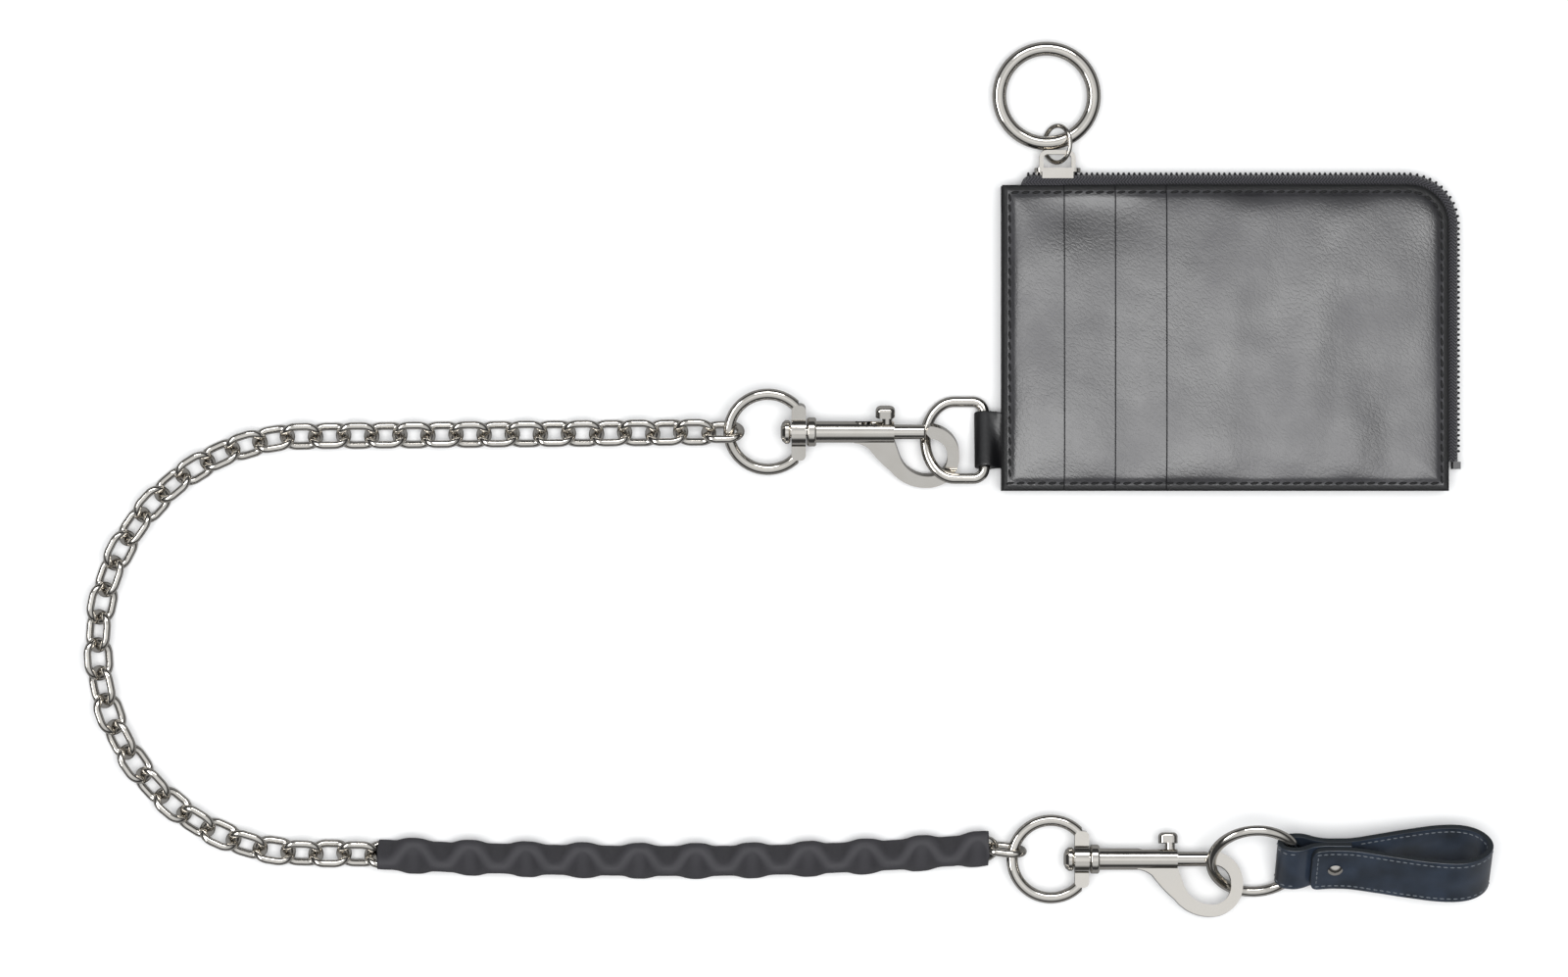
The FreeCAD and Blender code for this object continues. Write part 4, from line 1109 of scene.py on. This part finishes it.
@dataclass
class ZipFastener:
    """Two twill tapes round the pouch's top and right side, with interlocking nylon coils."""

    shape: PouchShape
    start_x: float = -61.2
    end_y: float = -37.3
    middle_z: float = 4.9
    pitch: float = 1.6
    end_curve: float = 3.2
    turn_radius: float = 1.2
    wire_radius: float = 0.4
    turn_reach: float = 2.1
    front_lead: float = 0.3
    tape_profile: tuple = (
        (-3.0, 3.35), (-1.0, 3.35), (0.3, 3.3), (1.2, 3.22),
        (1.9, 3.1), (2.4, 2.9), (2.7, 2.55), (2.85, 2.0),
    )
    tape_thickness: float = 0.55
    tape_ripple: float = 0.05
    tape_step: float = 0.8
    first_turn: float = 2.0
    bare_ends: float = 2.6

    def spot(self, run: float) -> tuple[Vector, Vector]:
        """Gives a point of the pouch's edge under the zip.

        Args:
            run: Length along the edge, in millimetres.

        Returns:
            The point and the way outwards.
        """
        across = self.shape.half_width - self.shape.corner
        upward = self.shape.half_height - self.shape.corner
        straight = across - self.start_x
        arc = self.shape.corner * math.pi / 2
        if run <= straight:
            return Vector((self.start_x + run, self.shape.half_height, 0)), Vector((0, 1, 0))
        if run <= straight + arc:
            angle = (run - straight) / self.shape.corner
            outward = Vector((math.sin(angle), math.cos(angle), 0))
            return Vector((across, upward, 0)) + outward * self.shape.corner, outward
        return Vector((self.shape.half_width, upward - (run - straight - arc), 0)), Vector((1, 0, 0))

    def whole(self) -> float:
        """Gives the zip's whole length, in millimetres."""
        straight = self.shape.half_width - self.shape.corner - self.start_x
        side = self.shape.half_height - self.shape.corner - self.end_y
        return straight + self.shape.corner * math.pi / 2 + side

    def tape(self, sign: int) -> Mesh:
        """Weaves one tape.

        Args:
            sign: 1 for the front tape, -1 for the back one.

        Returns:
            The bmesh.
        """
        columns = round(self.whole() / self.tape_step)
        reach = [Vector((n, z)) for n, z in self.tape_profile]
        widths = distances(reach)

        def place(column: int, row: int) -> Vector:
            """Gives a point of the tape."""
            run = self.whole() * column / columns
            point, outward = self.spot(run)
            n, z = self.tape_profile[row]
            left = min(run / self.end_curve, 1.0)
            if n > 0:
                n *= math.sqrt(max(0.0, 1 - (1 - left) ** 2))
            ripple = self.tape_ripple * noise.noise(Vector((run / 2.5, n, sign)))
            return point + outward * n + Vector((0, 0, self.middle_z + sign * (z + ripple)))

        return mapped_grid(
            columns, len(reach) - 1, place,
            lambda column, row: (self.whole() * column / columns, widths[row]),
        )

    def coil(self, sign: int) -> Mesh:
        """Winds one coil, turn by turn.

        Args:
            sign: 1 for the front coil, -1 for the back one.

        Returns:
            The bmesh.
        """
        turn = bmesh.new()
        ring = bmesh.ops.create_circle(
            turn, segments=6, radius=self.wire_radius * MM,
            matrix=Matrix.Translation((0, 0, self.turn_radius * MM)) @ Matrix.Rotation(math.pi / 2, 4, "Y"),
        )
        edges = list({edge for vert in ring["verts"] for edge in vert.link_edges})
        bmesh.ops.spin(
            turn, geom=edges, cent=(0, 0, 0), axis=(0, 1, 0), angle=math.pi, steps=6,
        )
        bmesh.ops.recalc_face_normals(turn, faces=turn.faces[:])
        one = bpy.data.meshes.new("coil_turn")
        turn.to_mesh(one)
        turn.free()
        bm = bmesh.new()
        count = int((self.whole() - self.bare_ends) / self.pitch)
        for number in range(count):
            run = self.first_turn + self.pitch * (number + (0.5 if sign < 0 else 0.0))
            point, outward = self.spot(run)
            along = Vector((outward.y, -outward.x, 0))
            centre = point + outward * (self.turn_reach + sign * self.front_lead)
            centre.z = self.middle_z + sign * self.turn_radius
            axes = Matrix((outward, along, Vector((0, 0, 1)))).transposed().to_4x4()
            before = len(bm.verts)
            bm.from_mesh(one)
            bm.verts.ensure_lookup_table()
            bmesh.ops.transform(
                bm, matrix=Matrix.Translation(centre * MM) @ axes, verts=bm.verts[before:]
            )
        bpy.data.meshes.remove(one)
        bmesh.ops.recalc_face_normals(bm, faces=bm.faces[:])
        return bm

    def build(self, finishes: FinishBox) -> None:
        """Sews in both sides of the zip.

        Args:
            finishes: The materials.
        """
        for side, sign in (("front", 1), ("back", -1)):
            tape = make_piece(self.tape(sign), f"zip_twill_{side}", [finishes.tape], "wallet",
                              [f"zip_tape_{side}"])
            add_wall(tape, self.tape_thickness)
            make_piece(self.coil(sign), f"zip_teeth_{side}", [finishes.nylon], "wallet",
                       [f"zip_coil_{side}"])


# ------------------------------------------------------------------ tab


@dataclass
class DRingTab:
    """The leather tab that holds the D-ring: one strip folded round its bar."""

    origin: tuple = (-72.5, -30.8, 4.9)
    tilt: float = -14.5
    half_width: float = 8.5
    thickness: float = 1.15
    untwist_from: float = 1.2
    untwist_to: float = 4.9
    rounding: float = 0.3
    course: tuple = (
        (12.5, 0.6), (6.0, 0.62), (3.6, 1.15), (1.6, 2.12), (0, 2.4), (-1.7, 1.7), (-2.4, 0),
        (-1.7, -1.7), (0, -2.4), (1.6, -2.12), (3.6, -1.15), (6.0, -0.62), (12.5, -0.6),
    )

    def build(self, finishes: FinishBox) -> Piece:
        """Folds the tab.

        Args:
            finishes: The materials.

        Returns:
            The piece.
        """
        line = smooth_course(self.course, 4)
        run = distances(line)
        rows = 20

        def place(column: int, row: int) -> Vector:
            """Gives a point of the strip's middle."""
            x, z = line[column]
            share = min(max((x - self.untwist_from) / (self.untwist_to - self.untwist_from), 0), 1)
            share = share * share * (3 - 2 * share)
            y = self.half_width * (2 * row / rows - 1) * (1 - 0.012 * noise.noise(Vector((x, z, 2.0))))
            turn = Matrix.Rotation(math.radians(self.tilt) * (1 - share), 3, "X")
            return Vector(self.origin) + turn @ Vector((x, y, z))

        bm = mapped_grid(len(line) - 1, rows, place, lambda c, r: (run[c], r * 0.85))
        piece = make_piece(bm, "tab_leather", [finishes.tab, finishes.edge], "wallet",
                           ["tab_strap"])
        add_wall(piece, self.thickness, 0.0, 1)
        add_round(piece, self.rounding, 3)
        return piece


# ------------------------------------------------------------------ sleeve


@dataclass
class ChainSleeve:
    """Rubber tube shrunk over the chain: it stands out over each link and sinks between them."""

    link_half: float = 6.6
    link_radius: float = 5.2
    wire: float = 1.15
    wall: float = 1.0
    flat_roll: float = 32.0
    steep_roll: float = -58.0
    links: int = 22
    step: float = 0.7
    around: int = 48
    sharpness: float = 9.0
    softening: float = 1.0
    left_radius: float = 2144.0
    right_radius: float = 1094.0
    sag_x: float = -163.0
    sag_y: float = -158.0
    level: float = 5.2

    def centre(self, x: float) -> Vector:
        """Gives the tube's centre line.

        Args:
            x: Across, in millimetres.

        Returns:
            The point.
        """
        bend = self.left_radius if x < self.sag_x else self.right_radius
        return Vector((x, self.sag_y + (x - self.sag_x) ** 2 / (2 * bend), self.level))

    def support(self, xs: np.ndarray, angles: np.ndarray) -> np.ndarray:
        """Gives how far the tube reaches each way at each station.

        Args:
            xs: The stations along the tube.
            angles: The ways round it, in radians.

        Returns:
            The reach in millimetres, stations by angles.
        """
        low, high = (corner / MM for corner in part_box("sleeved_links"))
        first, last = low.x + self.link_half, high.x - self.link_half
        total = np.zeros((len(xs), len(angles)))
        for number in range(-1, self.links + 1):
            middle = first + (last - first) * number / (self.links - 1)
            roll = math.radians(self.flat_roll if number % 2 else self.steep_roll)
            off = np.abs(xs - middle)
            end = np.clip(off - (self.link_half - self.link_radius), 0, None)
            half = np.sqrt(np.clip(self.link_radius ** 2 - end ** 2, 0, None))
            arm = np.clip(half - self.wire, 0, None)[:, None] * np.abs(np.cos(angles - roll))[None, :]
            reach = arm + np.minimum(half, self.wire)[:, None]
            total += reach ** self.sharpness
        reach = total ** (1 / self.sharpness)
        radius = round(3 * self.softening / self.step)
        weights = np.exp(-0.5 * (np.arange(-radius, radius + 1) * self.step / self.softening) ** 2)
        padded = np.pad(reach, ((radius, radius), (0, 0)), mode="edge")
        weights /= weights.sum()
        soft = sum(w * padded[at:at + len(xs)] for at, w in enumerate(weights))
        return soft + self.wall

    def build(self, finishes: FinishBox) -> Piece:
        """Shrinks the tube over its links.

        Args:
            finishes: The materials.

        Returns:
            The piece.
        """
        low, high = (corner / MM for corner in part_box("sleeve"))
        columns = round((high.x - low.x) / self.step)
        xs = np.linspace(low.x, high.x, columns + 1)
        angles = np.linspace(0, 2 * math.pi, self.around, endpoint=False)
        reach = self.support(xs, angles)
        slope = (np.roll(reach, -1, 1) - np.roll(reach, 1, 1)) / (4 * math.pi / self.around)

        def place(column: int, row: int) -> Vector:
            """Gives a point of the tube's outside."""
            at = row % self.around
            h, d, a = reach[column, at], slope[column, at], angles[at]
            y = h * math.cos(a) - d * math.sin(a)
            z = h * math.sin(a) + d * math.cos(a)
            x = float(xs[column])
            lump = 0.10 * noise.noise(Vector((x / 3.1, math.cos(a) * 2, math.sin(a) * 2)))
            scale = 1 + lump / max(math.hypot(y, z), 1.0)
            return self.centre(x) + Vector((0, y * scale, max(z * scale, 0.15 - self.level)))

        bm = mapped_grid(columns, self.around, place, lambda c, r: (c * self.step, r * 0.7))
        bmesh.ops.remove_doubles(bm, verts=bm.verts[:], dist=0.00001)
        bmesh.ops.recalc_face_normals(bm, faces=bm.faces[:])
        piece = make_piece(bm, "rubber_sleeve", [finishes.rubber], "sleeve", ["sleeve"])
        add_wall(piece, self.wall * 0.85, -1.0)
        return piece


# ------------------------------------------------------------------ belt loop


@dataclass
class BeltLoop:
    """Leather strap folded through the belt ring into a loop, riveted and sewn along its edges."""

    origin: tuple = (8.85, -157.7, 11.2)
    tilt: float = 132.0
    width: float = 16.5
    thickness: float = 1.7
    end_corner: float = 2.6
    stitch_inset: float = 1.5
    stitch_pitch: float = 2.0
    stitch_size: tuple = (1.45, 0.42, 0.34)
    stitch_lift: float = 0.02
    late_share: float = 0.55
    end_row: int = 3
    rounding: float = 0.35
    hidden_from: float = 12.5
    inner_from: float = 31.0
    course: tuple = (
        (16.6, 3.5), (20.5, 2.98), (24.0, 2.8), (29.0, 3.05), (36.0, 4.45), (46.0, 6.6), (56.0, 8.2),
        (63.0, 7.9), (68.0, 5.2), (70.15, 0.9), (68.0, -3.6), (63.0, -6.2), (56.0, -6.5), (46.0, -4.8),
        (36.0, -2.6), (29.0, -1.1), (24.0, -0.9), (20.5, -0.95), (17.2, -1.7), (14.4, -2.75),
        (11.8, -3.0), (8.5, -2.3), (7.1, 0.0), (8.5, 2.3), (11.6, 3.0), (14.2, 2.5), (16.6, 1.42),
        (20.0, 0.88), (24.0, 0.85), (28.5, 0.85),
    )

    def __post_init__(self) -> None:
        """Runs the course out once."""
        self.line = smooth_course(self.course, 7)
        self.ways = headings(self.line)
        self.run = distances(self.line)
        self.frame = tilted(self.origin, self.tilt)

    def half(self, run: float) -> float:
        """Gives half the strap's width, less at its rounded free end.

        Args:
            run: Length from the free end.

        Returns:
            Half the width in millimetres.
        """
        curve = self.end_corner
        if run >= curve:
            return self.width / 2
        gap = curve - run
        return self.width / 2 - curve + math.sqrt(max(curve * curve - gap * gap, 0.0))

    def strap(self, finishes: FinishBox) -> Piece:
        """Folds the strap.

        Args:
            finishes: The materials.

        Returns:
            The piece.
        """
        rows = 18

        def place(column: int, row: int) -> Vector:
            """Gives a point of the strap's middle."""
            spot, way = self.line[column], self.ways[column]
            side = Vector((-way.y, way.x))
            run = self.run[column]
            wave = 0.06 * noise.noise(Vector((run / 7, row / 5, 4.2)))
            z = self.half(run) * (2 * row / rows - 1)
            across = spot + side * wave
            return self.frame @ Vector((across.x, across.y, z))

        bm = mapped_grid(
            len(self.line) - 1, rows, place, lambda c, r: (self.run[c], self.width * r / rows)
        )
        piece = make_piece(bm, "belt_loop_strap", [finishes.strap, finishes.strap_edge],
                           "belt_loop", ["belt_strap"])
        add_wall(piece, self.thickness, 0.0, 1)
        add_round(piece, self.rounding, 3)
        return piece

    def stitches(self, finishes: FinishBox) -> Piece:
        """Sews both edges, on both faces where they show, and across the free end.

        Args:
            finishes: The materials.

        Returns:
            The piece.
        """
        places = []
        inset = self.width / 2 - self.stitch_inset
        count = int(self.run[-1] / self.stitch_pitch)
        for number in range(1, count):
            at = number * self.stitch_pitch
            part = next(i for i in range(len(self.run) - 1) if self.run[i + 1] >= at)
            share = (at - self.run[part]) / (self.run[part + 1] - self.run[part])
            spot = self.line[part].lerp(self.line[part + 1], share)
            way = self.ways[part]
            side = Vector((-way.y, way.x))
            late = at > self.run[-1] * self.late_share
            faces = [1]
            if late and spot.x > self.hidden_from and spot.y > 0:
                faces = []
            if spot.x > self.inner_from and not (late and spot.y > 0):
                faces.append(-1)
            for face in faces:
                flat = spot + side * (face * (self.thickness / 2 + self.stitch_lift))
                up = self.frame.to_3x3() @ Vector((side.x * face, side.y * face, 0))
                along = self.frame.to_3x3() @ Vector((way.x, way.y, 0))
                for z in (-inset, inset):
                    places.append((self.frame @ Vector((flat.x, flat.y, z)), along, up))
        spot, way = self.line[self.end_row], self.ways[self.end_row]
        side = Vector((-way.y, way.x))
        flat = spot + side * (self.thickness / 2 + self.stitch_lift)
        across = self.frame.to_3x3() @ Vector((0, 0, 1))
        up = self.frame.to_3x3() @ Vector((side.x, side.y, 0))
        ends = round(2 * inset / self.stitch_pitch)
        for number in range(1, ends):
            z = -inset + 2 * inset * number / ends
            places.append((self.frame @ Vector((flat.x, flat.y, z)), across, up))
        bm = Stitcher(*self.stitch_size).sew(places)
        return make_piece(bm, "belt_loop_stitches", [finishes.grey_thread], "belt_loop",
                          ["belt_stitching"])

    def build(self, finishes: FinishBox) -> None:
        """Builds the strap and its stitches.

        Args:
            finishes: The materials.
        """
        self.strap(finishes)
        self.stitches(finishes)


# ------------------------------------------------------------------ springs and metal


@dataclass
class BoltSpring:
    """The coil spring behind a snap hook's bolt. The real one shortens as the thumb piece is drawn back;
    this one is wound at one length.
    """

    number: int
    joint: str
    travel: float
    wire: float = 0.3
    turns: int = 9

    def build(self, finishes: FinishBox) -> Piece:
        """Winds the spring inside its CAD box.

        Args:
            finishes: The materials.

        Returns:
            The piece.
        """
        node = f"snap_{self.number}_spring"
        low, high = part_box(node)
        middle = (low + high) / 2
        radius = (high.z - low.z) / 2 - self.wire * MM
        length = high.x - low.x - 2 * self.wire * MM
        steps = self.turns * 14
        bm = bmesh.new()
        ring = bmesh.ops.create_circle(
            bm, segments=6, radius=self.wire * MM,
            matrix=Matrix.Translation((low.x + self.wire * MM, middle.y + radius, middle.z)),
        )
        edges = list({edge for vert in ring["verts"] for edge in vert.link_edges})
        bmesh.ops.spin(
            bm, geom=edges, cent=middle, axis=(1, 0, 0), dvec=(length / steps, 0, 0),
            angle=2 * math.pi * self.turns, steps=steps,
        )
        ends = [edge for edge in bm.edges if edge.is_boundary]
        bmesh.ops.edgeloop_fill(bm, edges=ends)
        bmesh.ops.recalc_face_normals(bm, faces=bm.faces[:])
        piece = make_piece(bm, f"snap_{self.number}_coil", [finishes.spring],
                           f"snap_{self.number}_case", [node])
        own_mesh(piece)
        return piece


class Hardware:
    """The metal and moulded parts, whose CAD shapes are kept and dressed."""

    def build(self, finishes: FinishBox) -> None:
        """Dresses every CAD node that still shows.

        Args:
            finishes: The materials.
        """
        for joint in frame["joints"]:
            if joint["child"] in ("snap_1_bolt", "snap_2_bolt"):
                number = int(joint["child"].split("_")[1])
                travel = joint["range_m"][1]
                BoltSpring(number, joint["name"], travel).build(finishes)
        for name, node in frame["nodes"].items():
            if node.hide_render:
                continue
            finish = finishes.nylon if name == "zip_lower_stop" else finishes.nickel
            for place in node.material_slots:
                place.material = finish
            LOG.info("%s: %s", name, finish.name)


# ------------------------------------------------------------------ studio


@dataclass
class Studio:
    """White floor, soft boxes overhead, two strips for the metal and a camera straight above."""

    view_width: float = 0.472
    camera_height: float = 1.6
    shift_x: float = -0.0007
    shift_y: float = -0.00287
    box_height: float = 2.1
    box_size: tuple = (1.5, 1.0)
    box_offset: tuple = (0.1, -0.13, 0.0)
    box_power: float = 35.0
    metal_power: float = 1.3
    strip_power: float = 16.0
    strip_size: tuple = (1.6, 0.4)
    world_strength: float = 0.8
    wall_strength: float = 0.06
    backdrop_strength: float = 0.9
    floor_reach: float = 3.0
    floor_gap: float = 0.0002
    dark_below: float = 0.45
    pale_above: float = 0.72

    def floor(self, level: float, centre: Vector) -> None:
        """Lays the floor.

        Args:
            level: Its height in metres.
            centre: The object's middle.
        """
        bm = bmesh.new()
        bmesh.ops.create_grid(bm, x_segments=4, y_segments=4, size=self.floor_reach)
        bmesh.ops.translate(bm, vec=(centre.x, centre.y, level), verts=bm.verts)
        mesh = bpy.data.meshes.new("studio_floor")
        bm.to_mesh(mesh)
        bm.free()
        mesh.materials.append(WhiteCard().material())
        floor = bpy.data.objects.new("studio_floor", mesh)
        bpy.context.scene.collection.objects.link(floor)

    def light(
        self, name: str, place: Vector, aim: Vector, size: tuple, power: float, lit: Sequence,
    ) -> None:
        """Hangs one soft light.

        Args:
            name: Its name.
            place: Where it hangs.
            aim: What it looks at.
            size: Width and height in metres.
            power: In watts.
            lit: The objects it lights.
        """
        lamp = bpy.data.lights.new(name, "AREA")
        lamp.shape = "RECTANGLE"
        lamp.size, lamp.size_y = size
        lamp.energy = power
        holder = bpy.data.objects.new(name, lamp)
        holder.location = place
        holder.rotation_euler = (aim - place).to_track_quat("-Z", "Y").to_euler()
        bpy.context.scene.collection.objects.link(holder)
        receivers = bpy.data.collections.new(name + "_receivers")
        for each in lit:
            receivers.objects.link(each)
        holder.light_linking.receiver_collection = receivers

    def air(self) -> None:
        """Makes the studio's air: pale ceiling, darker walls low down, and pale behind the object."""
        world = bpy.data.worlds.new("studio_air")
        world.use_nodes = True
        tree = world.node_tree
        tree.nodes.clear()
        way = add_node(tree, "SeparateXYZ", {0: add_node(tree, "TexCoord").outputs["Generated"]})
        rise = span(
            tree, way.outputs[2], self.wall_strength, self.world_strength,
            self.dark_below, self.pale_above,
        )
        seen = add_node(tree, "LightPath").outputs["Is Camera Ray"]
        strength = add_node(tree, "Mix", {0: seen, 2: rise, 3: self.backdrop_strength})
        air = add_node(tree, "Background", {"Color": linear("#f4f6f8"), "Strength": strength.outputs[0]})
        add_node(tree, "OutputWorld", {"Surface": air.outputs[0]})
        bpy.context.scene.world = world

    def build(self) -> None:
        """Sets up floor, lights, world and camera."""
        low, high = CAD_BOX
        centre = (low + high) / 2
        middle = Vector((centre.x + self.shift_x, centre.y + self.shift_y, 0))
        self.floor(low.z - self.floor_gap, centre)
        over = middle + Vector(self.box_offset)
        above = over + Vector((0, 0, self.box_height))
        shown = [each for each in bpy.context.scene.objects if each.type == "MESH"]
        metals = {PolishedNickel.name, SpringWire.name}
        metal = [each for each in shown if metals & set(each.data.materials.keys())]
        plain = [each for each in shown if each not in metal]
        self.light("soft_box", above, over, self.box_size, self.box_power, plain)
        self.light("soft_box_on_metal", above, over, self.box_size, self.metal_power, metal)
        for name, place in (("far_strip", (0.0, 1.5, 1.5)), ("left_strip", (-1.6, 0.2, 1.4))):
            self.light(name, over + Vector(place), over, self.strip_size, self.strip_power, metal)
        self.air()
        lens = bpy.data.cameras.new("studio_camera")
        lens.sensor_width = 36.0
        lens.lens = 36.0 * self.camera_height / self.view_width
        lens.clip_start, lens.clip_end = 0.1, 20.0
        camera = bpy.data.objects.new("studio_camera", lens)
        camera.location = middle + Vector((0, 0, self.camera_height + centre.z))
        bpy.context.scene.collection.objects.link(camera)
        bpy.context.scene.camera = camera
        bpy.context.scene.view_settings.view_transform = "Standard"


def main() -> None:
    """Builds the wallet's looks round its frame."""
    finishes = FinishBox()
    Pouch().build(finishes)
    ZipFastener(PouchShape()).build(finishes)
    DRingTab().build(finishes)
    ChainSleeve().build(finishes)
    BeltLoop().build(finishes)
    Hardware().build(finishes)
    Studio().build()


if __name__ == "__main__":
    main()
